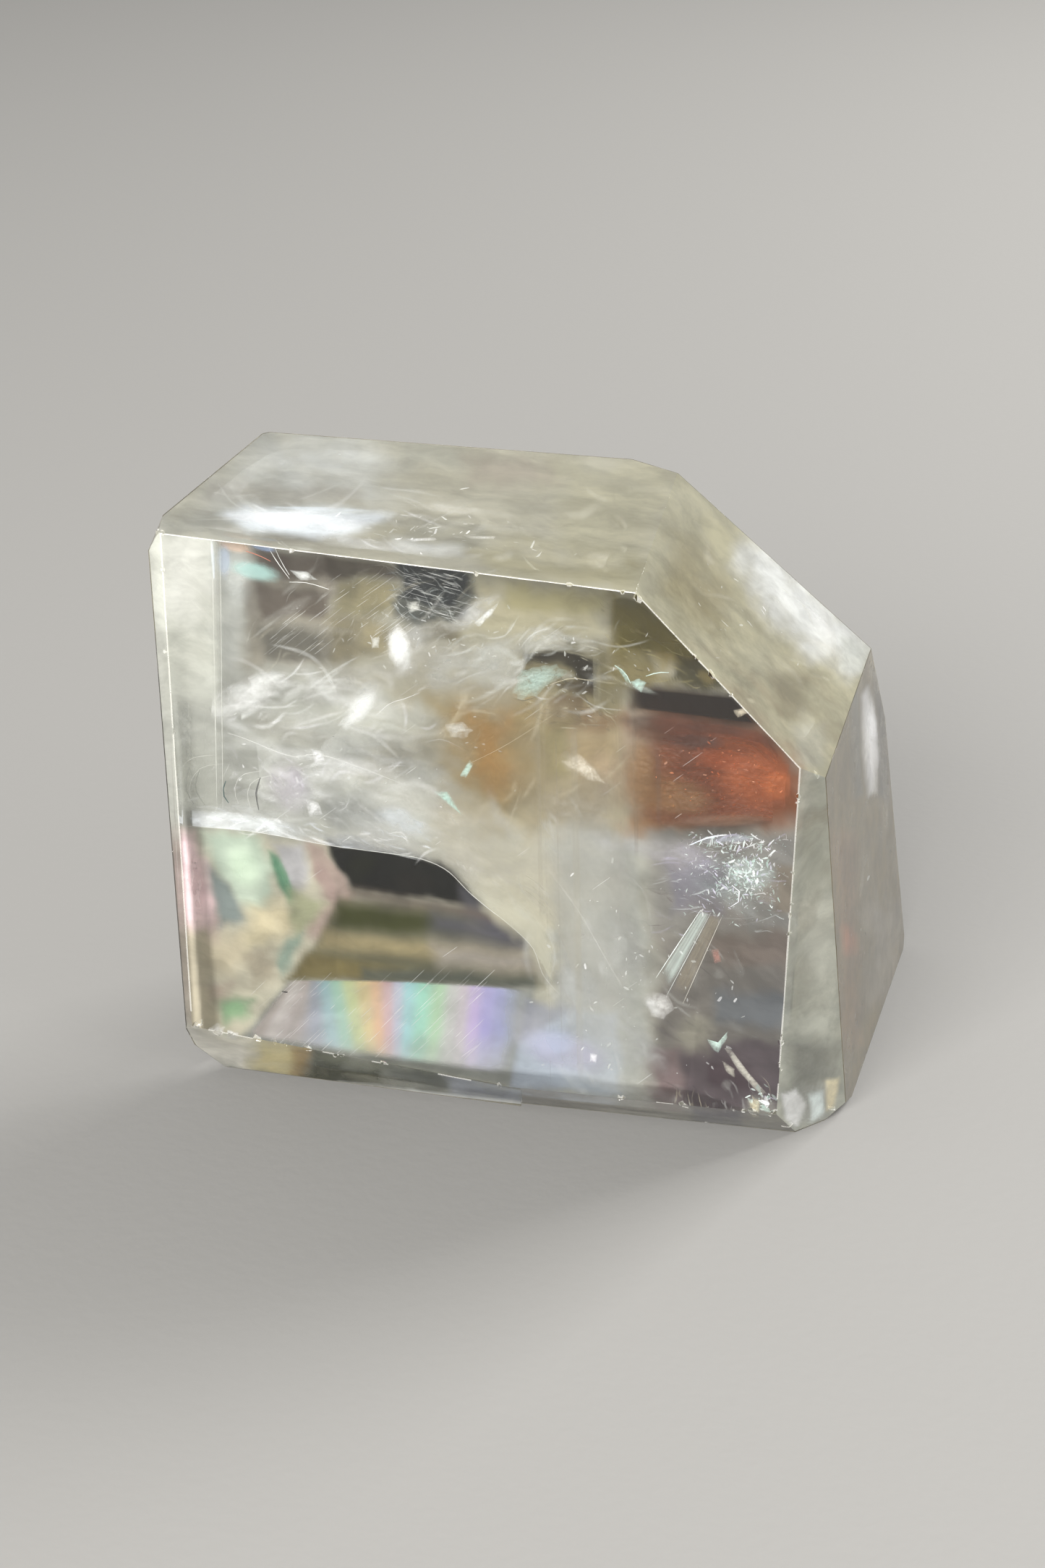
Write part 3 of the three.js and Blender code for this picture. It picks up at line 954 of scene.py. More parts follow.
# ---------------------------------------------------------------- milky skin
# The stone is cloudy just under its ground sides. For each side: its colour, how solid it is, and its soft tones
# (outline, softness in frame points, colour, strength and, where it differs, how far the border wanders).
# Some tones are painted highlights, reflections and glints; each is marked where it stands.
SIDES = {
    "top": ("#b4b1a0", 0.93, (
        ((225, 735, 362, 600, 520, 600, 560, 640, 520, 700, 300, 735), 60, "#b9bab3", 0.9, 30),
        ((350, 612, 490, 608, 520, 640, 400, 668), 40, "#cbcdc8", 0.8, 24),
        ((290, 662, 500, 672, 500, 692, 280, 684), 8, "#a6a399", 0.7),
        ((560, 610, 640, 615, 640, 642, 560, 640), 12, "#a3a397", 0.8),
        ((640, 622, 770, 634, 770, 668, 650, 662), 16, "#9d9588", 0.8),
        ((760, 630, 950, 640, 940, 665, 880, 830, 790, 815), 30, "#b6b29a", 0.95),
        ((780, 640, 900, 650, 930, 680, 800, 680), 18, "#c2bea6", 0.6),
        ((640, 750, 870, 776, 885, 815, 690, 800), 20, "#a8a283", 0.8),
        # Painted highlight: this strip and the next tone make the bright reflection on the top.
        ((540, 738, 640, 748, 640, 766, 540, 757), 8, "#dfe1dd", 0.8),
        ((304, 706, 340, 696, 470, 697, 538, 705, 514, 724, 440, 740, 345, 731), 9, "#f4fbff", 1.0, 6),
    )),
    "shoulder": ("#bab598", 0.93, (
        ((860, 830, 940, 640, 985, 690, 925, 840), 24, "#b8b49b", 0.9),
        ((935, 730, 1010, 800, 1000, 880, 915, 815), 22, "#a89e7a", 0.8),
        # Painted reflection: the white band along the shoulder's back edge.
        ((1032, 742, 1064, 756, 1207, 893, 1190, 925, 1120, 902, 1062, 846, 1030, 790), 22, "#f6f8f4", 1.0),
        ((1030, 890, 1080, 880, 1090, 930, 1050, 930), 16, "#c0bca2", 0.7),
        ((1070, 930, 1124, 930, 1112, 992, 1080, 985), 12, "#918a70", 0.8),
        ((1100, 1000, 1142, 1000, 1142, 1060, 1105, 1055), 12, "#b8b6a6", 0.7),
        # Painted reflection: the end of that white band.
        ((1162, 880, 1207, 893, 1196, 932, 1162, 920), 8, "#dcdfd6", 0.8),
    )),
    "right": ("#756845", 0.93, (
        ((1206, 925, 1214, 930, 1228, 1000, 1230, 1110, 1216, 1100, 1213, 1010), 6, "#4a4a44", 0.9, 2),
        ((1176, 965, 1186, 950, 1192, 1000, 1196, 1098, 1184, 1104), 6, "#66655a", 0.9, 2),
        # Painted highlight: the white strip down the right side.
        ((1192, 962, 1200, 950, 1211, 1000, 1213, 1094, 1203, 1100, 1196, 1040), 5, "#ffffff", 1.0, 1),
        ((1152, 1150, 1186, 1150, 1190, 1450, 1165, 1450), 10, "#886c47", 0.75),
        (oval(1172, 1300, 9, 18), 9, "#b87448", 0.8),
        ((1205, 1250, 1250, 1250, 1242, 1380, 1205, 1400), 16, "#8e8678", 0.7),
    )),
    "right_bevel": ("#bebfb1", 0.93, (
        ((1100, 1070, 1150, 1075, 1160, 1230, 1095, 1230), 24, "#a6a697", 0.9),
        ((1095, 1440, 1162, 1436, 1158, 1506, 1095, 1506), 18, "#83847c", 0.85, 8),
        ((1106, 1250, 1158, 1260, 1150, 1360, 1106, 1350), 20, "#cfcfc0", 0.8),
        ((1080, 1505, 1158, 1505, 1140, 1556, 1090, 1566), 10, "#a4a59f", 0.8),
        # Painted glints: these three, in the bevel's foot.
        ((1082, 1512, 1102, 1504, 1114, 1528, 1102, 1560, 1086, 1550), 4, "#fafaf7", 1.0, 5),
        ((1118, 1516, 1137, 1512, 1139, 1538, 1122, 1554), 4, "#eef8f4", 0.95, 5),
        ((1142, 1496, 1160, 1492, 1155, 1530, 1143, 1536), 4, "#ece0bc", 0.85, 4),
    )),
    "left_bevel": ("#cfcfc4", 0.9, (
        ((195, 730, 232, 730, 240, 880, 205, 880), 24, "#f0f1e4", 0.9),
        ((200, 1150, 270, 1150, 285, 1430, 220, 1430), 24, "#8f867c", 0.95),
    )),
    "foot_left": ("#85857b", 0.93, (
        ((250, 1410, 350, 1438, 345, 1486, 265, 1460), 16, "#dad6ca", 0.95),
        ((350, 1438, 415, 1450, 415, 1492, 345, 1482), 14, "#c6b98a", 0.9),
        ((404, 1448, 426, 1452, 424, 1494, 402, 1490), 9, "#8c7040", 0.8),
        ((428, 1453, 530, 1470, 540, 1512, 424, 1494), 14, "#2c2f1e", 0.95),
        ((440, 1456, 600, 1482, 600, 1492, 440, 1466), 5, "#6c6e5c", 0.6),
        ((535, 1472, 610, 1484, 620, 1520, 540, 1508), 16, "#4c4f4a", 0.9),
        ((610, 1484, 724, 1506, 724, 1534, 620, 1520), 12, "#8c9098", 0.9),
        ((470, 1496, 724, 1526, 724, 1536, 470, 1508), 3, "#e6e6e2", 0.8),
    )),
    "foot_right": ("#87857f", 0.93, (
        ((955, 1530, 1030, 1538, 1030, 1558, 955, 1550), 8, "#757478", 0.8),
    )),
    # Only the strip along its left border is cloudy on the front, which is clear elsewhere.
    "front": ("#d8d9cc", 0.7, (
        ((215, 735, 302, 742, 302, 840, 220, 840), 40, "#f2f2e8", 0.95),
        ((230, 1040, 306, 1040, 308, 1125, 236, 1125), 24, "#c9cabb", 0.8),
    )),
}
FRONT_STRIP = (190, 700, 297, 735, 301, 900, 304, 1122, 236, 1122, 190, 1122)
STRIP_SOFT = 22
STRIP_FADE = (920, 80, 0.55)  # y at which the strip starts to thin, over how much, and by how much
FAR_SIDE = ("#d8d6c8", "#fafaf5", "#c4bda5", "#e6debf")  # colours that drift over the sides at the back
SKIN_DEPTHS = (0.07, 1.0)  # mm below the surface, at the edges and in the middle of a side
SKIN_WAVE = 0.25
SKIN_RISE = 4.5  # mm in from the edges over which it sinks
SKIN_MESH = {None: 1.3, "right_bevel": 0.45, "right": 0.6}  # mm between its points; None is a side at the back
USUAL_MESH = 0.75
SKIN_ROUNDS = 8  # halvings, enough for the longest side


def far_tint(place):
    """Drifting colour of a side that faces away."""
    spot = place * 55
    first = smoothstep(0.5 + noise.noise(spot) * 1.3)
    second = smoothstep(0.5 + noise.noise(spot * 0.7 + Vector((9, 4, 2))) * 1.6)
    third = smoothstep(noise.noise(spot * 1.4 + Vector((2, 7, 5))) * 1.8)
    colour = Vector(linear(FAR_SIDE[0])).lerp(Vector(linear(FAR_SIDE[1])), first)
    colour = colour.lerp(Vector(linear(FAR_SIDE[3])), second * 0.6)
    return tuple(colour.lerp(Vector(linear(FAR_SIDE[2])), third * 0.7))


class CALCITE_OT_skin(bpy.types.Operator):
    """Builds the thin cloudy skin just under the polished sides, with painted highlights, reflections and glints in
    places
    """

    bl_idname = "calcite.skin"
    bl_label = "Milky skin"

    def netted(self, corners, spacing):
        """A facet cut into a net of triangles no longer than spacing."""
        work = bmesh.new()
        work.faces.new([work.verts.new(c) for c in corners])
        bmesh.ops.triangulate(work, faces=work.faces)
        for _ in range(SKIN_ROUNDS):
            long_edges = [e for e in work.edges if e.calc_length() > spacing]
            if long_edges:
                bmesh.ops.subdivide_edges(work, edges=long_edges, cuts=1, use_grid_fill=True)
        work.verts.index_update()
        return work

    def look(self, name, place):
        """The tint and the opacity of the skin at a place on a side."""
        if name is None:
            wander = noise.noise(place * 42 + Vector((3, 3, 3))) + 0.5 * noise.noise(place * 110)
            return far_tint(place), 0.28 + 0.5 * smoothstep(0.45 + wander * 1.2)
        x, y = in_frame(place)
        base, opacity, tones = SIDES[name]
        if name == "front":
            start, over, loss = STRIP_FADE
            opacity *= smoothstep(0.5 + inside_by(x, y, FRONT_STRIP) / STRIP_SOFT)
            opacity *= 1 - loss * smoothstep((y - start) / over)
        return toned(x, y, base, tones), opacity

    def execute(self, context):
        piece = Piece("milky_skin", 2, context.scene.calcite_veils.strength)
        for plane in PLANES:
            name = next((n for n, p in FACETS.items() if p is plane), None)
            work = self.netted(plane[2], SKIN_MESH.get(name, USUAL_MESH) * MM)
            made = []
            for vertex in work.verts:
                place = vertex.co.copy()
                inward = math.prod(smoothstep(-(place - p).dot(n) / (SKIN_RISE * MM))
                                   for p, n, _c in PLANES if n is not plane[1])
                gap = SKIN_DEPTHS[0] + SKIN_WAVE * inward
                if name != "front":
                    gap = SKIN_DEPTHS[0] + (SKIN_DEPTHS[1] - SKIN_DEPTHS[0]) * inward
                    gap += inward * SKIN_WAVE * noise.noise(place * 240)
                tint, opacity = self.look(name, place)
                grain = tuple(place * MM_PER_METRE)
                made.append(piece.vertex(pushed_inside(place, gap * MM), opacity, grain, tint))
            for face in work.faces:
                corners = [made[v.index] for v in face.verts]
                if any(c[piece.opacity] > 0 for c in corners):
                    piece.work.faces.new(corners)
            work.free()
        piece.done(sheet_finish("milky_calcite", skin_alpha, 0.6, 0.35, shine=0.2, colour_of=cloudy_colour, tear=0.0),
                   shades=True)
        return {"FINISHED"}


# ---------------------------------------------------------------- body tones
# What the depth behind the front facet looks like, laid from the back forward, in the same form as the sides' tones.
# Its dark windows are painted shade, standing for dark surroundings seen through the clear stone.
DEPTH_BASE = "#9a988c"
DEPTH_TONES = (
    # windows above the veil; their dark greys and browns are painted shade for the dark surroundings seen through the
    # clear stone
    ((296, 745, 470, 768, 480, 930, 296, 945), 21, "#8f8a7e", 0.9),
    ((345, 757, 462, 770, 462, 796, 420, 803, 352, 800), 9, "#5f564e", 0.9, 7),
    ((362, 762, 400, 765, 396, 784, 370, 784), 8, "#4c423c", 0.6, 6),
    ((355, 808, 455, 814, 455, 855, 360, 855), 9, "#584f47", 0.85, 10),
    ((360, 868, 465, 872, 460, 915, 362, 918), 11, "#5c5a52", 0.85, 9),
    ((290, 745, 345, 757, 338, 860, 330, 940, 295, 940), 14, "#c2c4be", 0.9, 9),
    ((338, 790, 358, 800, 356, 850, 340, 852), 8, "#8a857c", 0.7),
    ((450, 770, 562, 785, 556, 802, 500, 800, 450, 806), 6, "#50483e", 0.92, 5),
    ((466, 806, 520, 800, 546, 812, 546, 850, 465, 850), 10, "#857e62", 0.9, 5),
    ((500, 806, 540, 812, 530, 836, 496, 832), 8, "#a39a7a", 0.6),
    ((455, 852, 510, 846, 540, 870, 536, 905, 455, 915), 12, "#7c755f", 0.9, 7),
    ((500, 860, 530, 864, 526, 896, 505, 890), 8, "#958c70", 0.6),
    ((548, 772, 652, 792, 655, 826, 640, 860, 546, 858), 6, "#4f514d", 0.92, 16),
    ((549, 774, 600, 780, 640, 796, 642, 822, 600, 832, 554, 830), 5, "#2a2e30", 0.95, 16),
    ((540, 836, 580, 842, 600, 856, 560, 868), 6, "#4d504d", 0.8, 12),
    ((600, 800, 652, 806, 648, 818, 604, 814), 3, "#25292a", 0.8, 6),
    ((560, 870, 640, 880, 640, 930, 560, 930), 26, "#858277", 0.75),
    ((600, 866, 646, 872, 640, 886, 598, 880), 5, "#6c6550", 0.85, 7),
    ((655, 800, 830, 822, 826, 880, 655, 880), 24, "#b2ac92", 0.9, 16),
    ((700, 806, 835, 824, 833, 850, 700, 836), 10, "#a39c74", 0.7),
    ((715, 896, 862, 896, 862, 1002, 715, 996), 14, "#635c40", 0.88, 16),
    ((724, 903, 768, 899, 806, 904, 826, 918, 828, 956, 806, 946, 788, 928, 756, 918, 728, 915), 4, "#1f1b10", 0.95,
     9),
    ((768, 948, 796, 940, 826, 950, 826, 964, 790, 964), 4, "#33291a", 0.85, 8),
    ((722, 984, 872, 986, 872, 1012, 730, 1006), 9, "#6e4428", 0.75, 14),
    ((786, 884, 800, 890, 798, 899, 784, 897), 3, "#5c583c", 0.8, 5),
    ((724, 967, 748, 967, 746, 996, 724, 996), 4, "#4a3620", 0.9, 6),
    ((756, 967, 780, 962, 806, 968, 803, 1000, 780, 1006, 757, 1000), 3, "#432e1a", 0.95, 8),
    ((838, 898, 898, 900, 912, 926, 938, 950, 845, 948), 14, "#6b613b", 0.88, 16),
    ((842, 825, 893, 830, 962, 905, 846, 900), 18, "#726626", 0.95, 14),
    (oval(872, 862, 22, 14, 40), 8, "#857a48", 0.7, 8),
    (oval(905, 885, 16, 8, 30), 6, "#4e4722", 0.7, 8),
    ((900, 880, 950, 885, 978, 912, 915, 922), 10, "#8c7d48", 0.85, 14),
    ((938, 902, 985, 908, 1008, 950, 955, 954, 924, 944), 9, "#35300c", 0.9, 16),
    (oval(975, 935, 14, 6, 20), 4, "#8a7c50", 0.6, 7),
    ((870, 945, 940, 950, 1003, 958, 1025, 958, 1060, 1005, 1000, 1000, 940, 992, 868, 982), 9, "#24180c", 0.95, 5),
    # tan and orange haze in the middle
    ((480, 950, 760, 960, 770, 1160, 600, 1160, 500, 1080), 50, "#918972", 0.85, 30),
    ((612, 970, 680, 972, 738, 1010, 735, 1090, 680, 1130, 630, 1080, 612, 1010), 40, "#8c7c58", 0.85, 30),
    ((645, 992, 700, 990, 706, 1080, 655, 1085), 26, "#a0763f", 0.7, 20),
    (oval(722, 1010, 14, 60), 12, "#857650", 0.6, 12),
    ((740, 985, 860, 985, 860, 1150, 740, 1150), 40, "#857a60", 0.8, 20),
    ((750, 1000, 790, 1000, 790, 1070, 750, 1070), 12, "#857c56", 0.6, 10),
    ((795, 1010, 860, 1010, 850, 1075, 800, 1075), 14, "#9c8866", 0.6, 10),
    (oval(840, 1060, 24, 16, 30), 12, "#a08e78", 0.5, 10),
    # behind the iron stain
    ((904, 980, 1050, 1002, 1116, 1066, 1114, 1142, 896, 1146), 24, "#74401f", 0.97, 12),
    ((866, 985, 900, 980, 895, 1150, 870, 1150), 26, "#7c604c", 0.7, 24),
    ((870, 1034, 950, 1034, 950, 1150, 870, 1150), 28, "#87643e", 0.85, 20),
    # behind the main veil
    ((225, 930, 480, 930, 610, 1000, 610, 1178, 225, 1140), 25, "#a2a39c", 0.9),
    # Painted shadow: the soft grey oval below the middle of the veil.
    (oval(485, 1120, 44, 26, 14), 16, "#6e706c", 0.8, 8),
    (oval(420, 1088, 26, 10, 60), 8, "#7c7c7c", 0.6, 6),
    (oval(400, 1010, 60, 18, 12), 14, "#8c8a80", 0.6),
    (oval(560, 1040, 60, 26, -20), 20, "#87806c", 0.6, 12),
    (oval(500, 1070, 40, 14, 24), 12, "#858378", 0.5, 10),
    # the window under the veil, at the left
    ((225, 1140, 460, 1165, 470, 1360, 350, 1432, 225, 1432), 10, "#b4b09e", 0.97),
    ((225, 1150, 262, 1160, 284, 1200, 300, 1245, 306, 1300, 225, 1310), 12, "#a89292", 0.95),
    ((225, 1296, 350, 1290, 350, 1335, 225, 1345), 16, "#bab097", 0.9),
    ((282, 1150, 350, 1156, 376, 1192, 378, 1236, 345, 1262, 318, 1236, 298, 1204), 13, "#aab9a8", 0.95),
    (oval(338, 1212, 22, 34, -20), 16, "#c6d2c0", 0.8),
    ((284, 1194, 306, 1214, 328, 1246, 342, 1274, 306, 1282, 294, 1246), 8, "#6c7877", 0.9),
    ((380, 1165, 424, 1168, 424, 1216, 410, 1248, 398, 1222), 9, "#a9a8ac", 0.9),
    ((372, 1176, 386, 1184, 410, 1238, 402, 1252, 388, 1228, 376, 1200), 5, "#4d7e62", 0.92),
    ((424, 1166, 448, 1170, 466, 1200, 490, 1235, 472, 1270, 462, 1288, 440, 1300, 420, 1290, 448, 1245, 432, 1210), 8,
     "#9a8880", 0.92),
    ((346, 1250, 392, 1244, 404, 1280, 384, 1304, 350, 1316, 340, 1290), 16, "#bfb597", 0.95),
    ((404, 1232, 446, 1246, 436, 1276, 410, 1296, 396, 1270), 10, "#8f9274", 0.85),
    ((398, 1296, 420, 1290, 404, 1330, 386, 1346, 380, 1330), 7, "#7c9084", 0.85),
    ((340, 1318, 384, 1312, 376, 1350, 345, 1366), 12, "#8f8674", 0.8),
    ((255, 1345, 345, 1345, 335, 1425, 255, 1425), 16, "#a8a290", 0.7),
    ((280, 1358, 320, 1352, 310, 1390, 284, 1390), 12, "#a08c80", 0.6),
    ((302, 1388, 325, 1378, 348, 1382, 340, 1406, 305, 1414), 13, "#70916f", 0.85),
    ((225, 1145, 272, 1150, 286, 1230, 290, 1290, 225, 1290), 12, "#f2d7d7", 0.97),
    ((225, 1284, 290, 1285, 296, 1430, 225, 1430), 14, "#b7ae97", 0.9),
    # the dark window, painted shade for the dark surroundings seen through the clear stone, and the bands below it
    ((450, 1160, 500, 1168, 560, 1174, 610, 1190, 650, 1228, 680, 1256, 600, 1246, 560, 1240, 490, 1232, 466, 1203), 6,
     "#060702", 1.0),
    (oval(500, 1200, 18, 22, 30), 8, "#111304", 0.7, 8),
    (oval(570, 1222, 26, 12, 10), 8, "#120e06", 0.7, 8),
    ((466, 1240, 700, 1262, 756, 1366, 392, 1356, 440, 1300), 8, "#565440", 0.95, 2),
    ((636, 1226, 680, 1256, 745, 1318, 700, 1302, 640, 1262), 10, "#444348", 0.92, 3),
    ((482, 1228, 560, 1240, 690, 1262, 700, 1280, 620, 1262, 560, 1252, 484, 1242), 10, "#574c42", 0.85, 3),
    ((466, 1250, 560, 1260, 640, 1274, 640, 1290, 560, 1288, 462, 1282), 10, "#2c3008", 0.92, 3),
    ((600, 1264, 690, 1276, 736, 1316, 660, 1302, 600, 1286), 22, "#4a4952", 0.9, 3),
    ((450, 1288, 560, 1300, 725, 1320, 740, 1342, 560, 1322, 440, 1310), 10, "#8b8061", 0.92, 3),
    ((600, 1306, 745, 1320, 750, 1344, 610, 1334), 20, "#918b84", 1.0, 3),
    ((424, 1316, 500, 1328, 560, 1340, 540, 1356, 400, 1352), 10, "#675c38", 0.8, 3),
    ((500, 1338, 740, 1352, 745, 1366, 500, 1356), 8, "#4c5049", 0.85, 3),
    ((398, 1356, 740, 1366, 724, 1505, 330, 1440), 6, "#7c7e79", 0.95, 2),
    # the beam, the curtain and the windows at the right, their greys painted shade for the surroundings seen through
    # the clear stone
    ((620, 1165, 760, 1190, 774, 1300, 766, 1380, 728, 1300, 690, 1262, 640, 1205), 14, "#aaa694", 0.9),
    ((760, 1150, 900, 1160, 900, 1545, 750, 1515, 775, 1375), 25, "#8f918c", 0.92),
    (oval(790, 1370, 16, 110), 14, "#7d7f7c", 0.7, 10),
    (oval(860, 1230, 18, 70), 12, "#85857e", 0.6, 10),
    ((725, 1378, 790, 1398, 780, 1506, 712, 1497), 10, "#7f828c", 0.85),
    ((790, 1400, 852, 1400, 860, 1512, 800, 1510, 708, 1500, 716, 1440), 8, "#98a0aa", 0.85),
    ((900, 1148, 1110, 1148, 1102, 1290, 900, 1290), 12, "#7c7a76", 0.92, 8),
    ((920, 1195, 1000, 1200, 1000, 1262, 930, 1262), 12, "#706e78", 0.85, 10),
    ((1070, 1200, 1110, 1200, 1106, 1262, 1070, 1262), 6, "#7a7062", 0.8, 7),
    ((910, 1285, 1102, 1285, 1090, 1548, 900, 1535), 20, "#66625e", 0.94, 12),
    ((985, 1290, 1095, 1290, 1092, 1340, 985, 1330), 12, "#6c6058", 0.7, 12),
    ((985, 1370, 1098, 1375, 1090, 1420, 985, 1415), 10, "#5e6266", 0.85, 10),
    ((940, 1440, 1090, 1440, 1085, 1545, 940, 1530), 10, "#4f464a", 0.92, 10),
    (oval(1010, 1490, 40, 20, 20), 10, "#3c2f34", 0.7, 10),
    (oval(962, 1430, 24, 26), 14, "#8c897c", 0.7, 10),
    ((900, 1450, 940, 1450, 945, 1530, 905, 1525), 10, "#6e5c5e", 0.7, 10),
)
DEPTH_TOP = (214, 735, 640, 788, 850, 814, 881, 820, 904, 846, 1000, 949, 1105, 1062)
DEPTH_FOOT = (240, 1421, 268, 1420, 640, 1490, 721, 1505, 905, 1524, 1074, 1541)
LINING_GAP = 0.5 * MM
DARK_BANDS = (
    # first rail, second rail, depth, colour, strength, fades
    ((872, 950, 940, 956, 990, 961, 1010, 963), (866, 980, 940, 988, 1000, 996, 1044, 1001), 6.0, "#170e06", 0.97,
     (2.0, 0.3, 0.5, 0.5)),
    ((836, 828, 880, 830, 962, 906), (838, 906, 890, 904, 960, 908), 7.0, "#4c451e", 0.7, (1.5, 0.4, 0.3, 1)),
)


class CALCITE_OT_tones(bpy.types.Operator):
    """Builds the tan and olive depths that show through the front facet, with painted shade in their dark windows"""

    bl_idname = "calcite.tones"
    bl_label = "Body tones"

    def execute(self, context):
        # One opaque sheet of body tones, with painted shade in its dark windows.
        piece = Piece("smoky_depth", 3, context.scene.calcite_veils.depth_and_shade_strength)
        piece.sheet(DEPTH_TOP, DEPTH_FOOT, (11, 9), lambda x, y: toned(x, y, DEPTH_BASE, DEPTH_TONES), 1.0,
                    (0, 0, 0, 0), relief=0.5, step=0.3, ramp=(18, 9))
        # Its back is lined with pale stone, which is what the other sides show.
        lining = bmesh.ops.duplicate(piece.work, geom=piece.work.verts[:] + piece.work.faces[:])["geom"]
        for vertex in lining:
            if isinstance(vertex, bmesh.types.BMVert):
                vertex.co = pushed_inside(vertex.co - FACETS["front"][1] * LINING_GAP)
                vertex[piece.tint] = Vector(far_tint(vertex.co))
        for first, second, depth, tint, strength, fade in DARK_BANDS:
            piece.sheet(first, second, (depth, depth), tint, strength, fade, relief=0.2, step=0.35)
        piece.done(sheet_finish("smoky_calcite", depth_sheet_alpha, 0.9, 0.15, shine=0.0, colour_of=cloudy_colour),
                   shades=True)
        return {"FINISHED"}


# ---------------------------------------------------------------- haze
HAZE_BEAMS = (
    # first rail, second rail, depth, colour, strength, fades
    ((622, 1206, 700, 1205, 756, 1228, 774, 1310), (650, 1236, 700, 1276, 736, 1310, 770, 1372), 3.0, "#bebcaa", 0.62,
     (1.0, 3.0, 4.0, 0.0)),
    ((560, 1130, 660, 1140, 760, 1180, 830, 1260), (600, 1190, 700, 1230, 770, 1300, 800, 1400), 4.0, "#aaa79a", 0.45,
     (3, 4, 3, 2)),
    ((740, 1110, 800, 1110, 880, 1120), (776, 1500, 840, 1512, 900, 1520), 5.0, "#9c9d98", 0.35, (4, 4, 3, 1)),
)
HAZE_CLOUDS = (
    # x, y, reach along, reach across, turn, depth, colour, strength
    (800, 1200, 120, 70, 40, 7.0, "#b6b1a3", 0.4), (820, 1350, 150, 70, 80, 6.0, "#bab7ae", 0.4),
    (720, 1420, 110, 40, 30, 5.0, "#abaab1", 0.35), (1000, 1260, 90, 40, 10, 6.0, "#7e756e", 0.3),
    (735, 1060, 50, 90, 0, 6.0, "#8d8265", 0.45), (670, 965, 90, 26, 8, 6.5, "#918b79", 0.55),
    (650, 1110, 80, 30, 30, 6.5, "#938d79", 0.5), (862, 1060, 26, 90, 0, 4.8, "#8d7d65", 0.4),
)


class CALCITE_OT_haze(bpy.types.Operator):
    """Builds the soft cream haze in the body"""

    bl_idname = "calcite.haze"
    bl_label = "Cream haze"

    def execute(self, context):
        piece = Piece("cream_haze", 4, context.scene.calcite_veils.strength)
        for first, second, depth, tint, strength, fade in HAZE_BEAMS:
            piece.sheet(first, second, (depth, depth), tint, strength, fade, relief=0.3)
        for row in HAZE_CLOUDS:
            piece.cloud(*row)
        piece.done(sheet_finish("cream_haze", haze_alpha, 0.6, 0.35, shine=0.2))
        return {"FINISHED"}


# ---------------------------------------------------------------- veils
VEIL_SHEETS = (
    # first rail, second rail, depths, colour, strength, fades, relief
    ((238, 970, 300, 960, 365, 930, 440, 925, 520, 940, 600, 955),
     (238, 1139, 270, 1143, 350, 1150, 450, 1168, 530, 1179, 600, 1195), (13, 3), "#b7b9b7", 0.72, (0.3, 4, 1.2, 0.0),
     0.9),
    ((240, 1114, 350, 1124, 430, 1144, 520, 1156, 610, 1180), (240, 1140, 350, 1150, 450, 1168, 560, 1183, 622, 1206),
     (3.5, 2.8), ("#f0f3f5", "#e6eaec", "#808385", "#6e6e6b"), 0.85, (0.5, 4, 0.8, 0.0), 0.1),
    ((240, 988, 320, 1000, 400, 1030, 450, 1034, 570, 1078), (240, 1012, 320, 1030, 400, 1060, 450, 1066, 570, 1100),
     (5, 4.5), "#dbdcdb", 0.7, (0.5, 5, 1.0, 1.2), 0.2),
    ((270, 966, 310, 950, 360, 926, 400, 922), (290, 1010, 330, 990, 380, 968, 430, 960), (6, 6), "#dddede", 0.75,
     (1.5, 2, 0.4, 2.4), 0.4),
    ((240, 1040, 330, 1056, 400, 1090), (240, 1066, 330, 1084, 390, 1116), (4, 4), "#d6d8d2", 0.5, (0.5, 2, 0.8, 1.0),
     0.3),
    ((480, 1040, 580, 1070, 680, 1100, 770, 1140), (480, 1172, 570, 1184, 630, 1212, 705, 1280), (8, 3), "#abaaa3",
     0.5, (4, 4, 4, 0.0), 0.6),
    ((745, 1110, 820, 1120, 890, 1130), (765, 1490, 850, 1512, 930, 1520), (6, 4), "#adaeab", 0.4, (3, 4, 4, 2), 0.6),
    ((640, 893, 700, 872, 750, 860, 790, 878, 832, 884), (640, 945, 690, 962, 722, 940, 740, 905, 830, 904), (6, 6),
     "#b0b2ae", 0.85, (2.5, 0.8, 0.5, 0.4), 0.3),
    ((560, 872, 620, 880, 700, 885), (560, 955, 620, 970, 705, 962), (7, 7), "#a5a7a4", 0.65, (3, 3, 2, 2), 0.5),
)
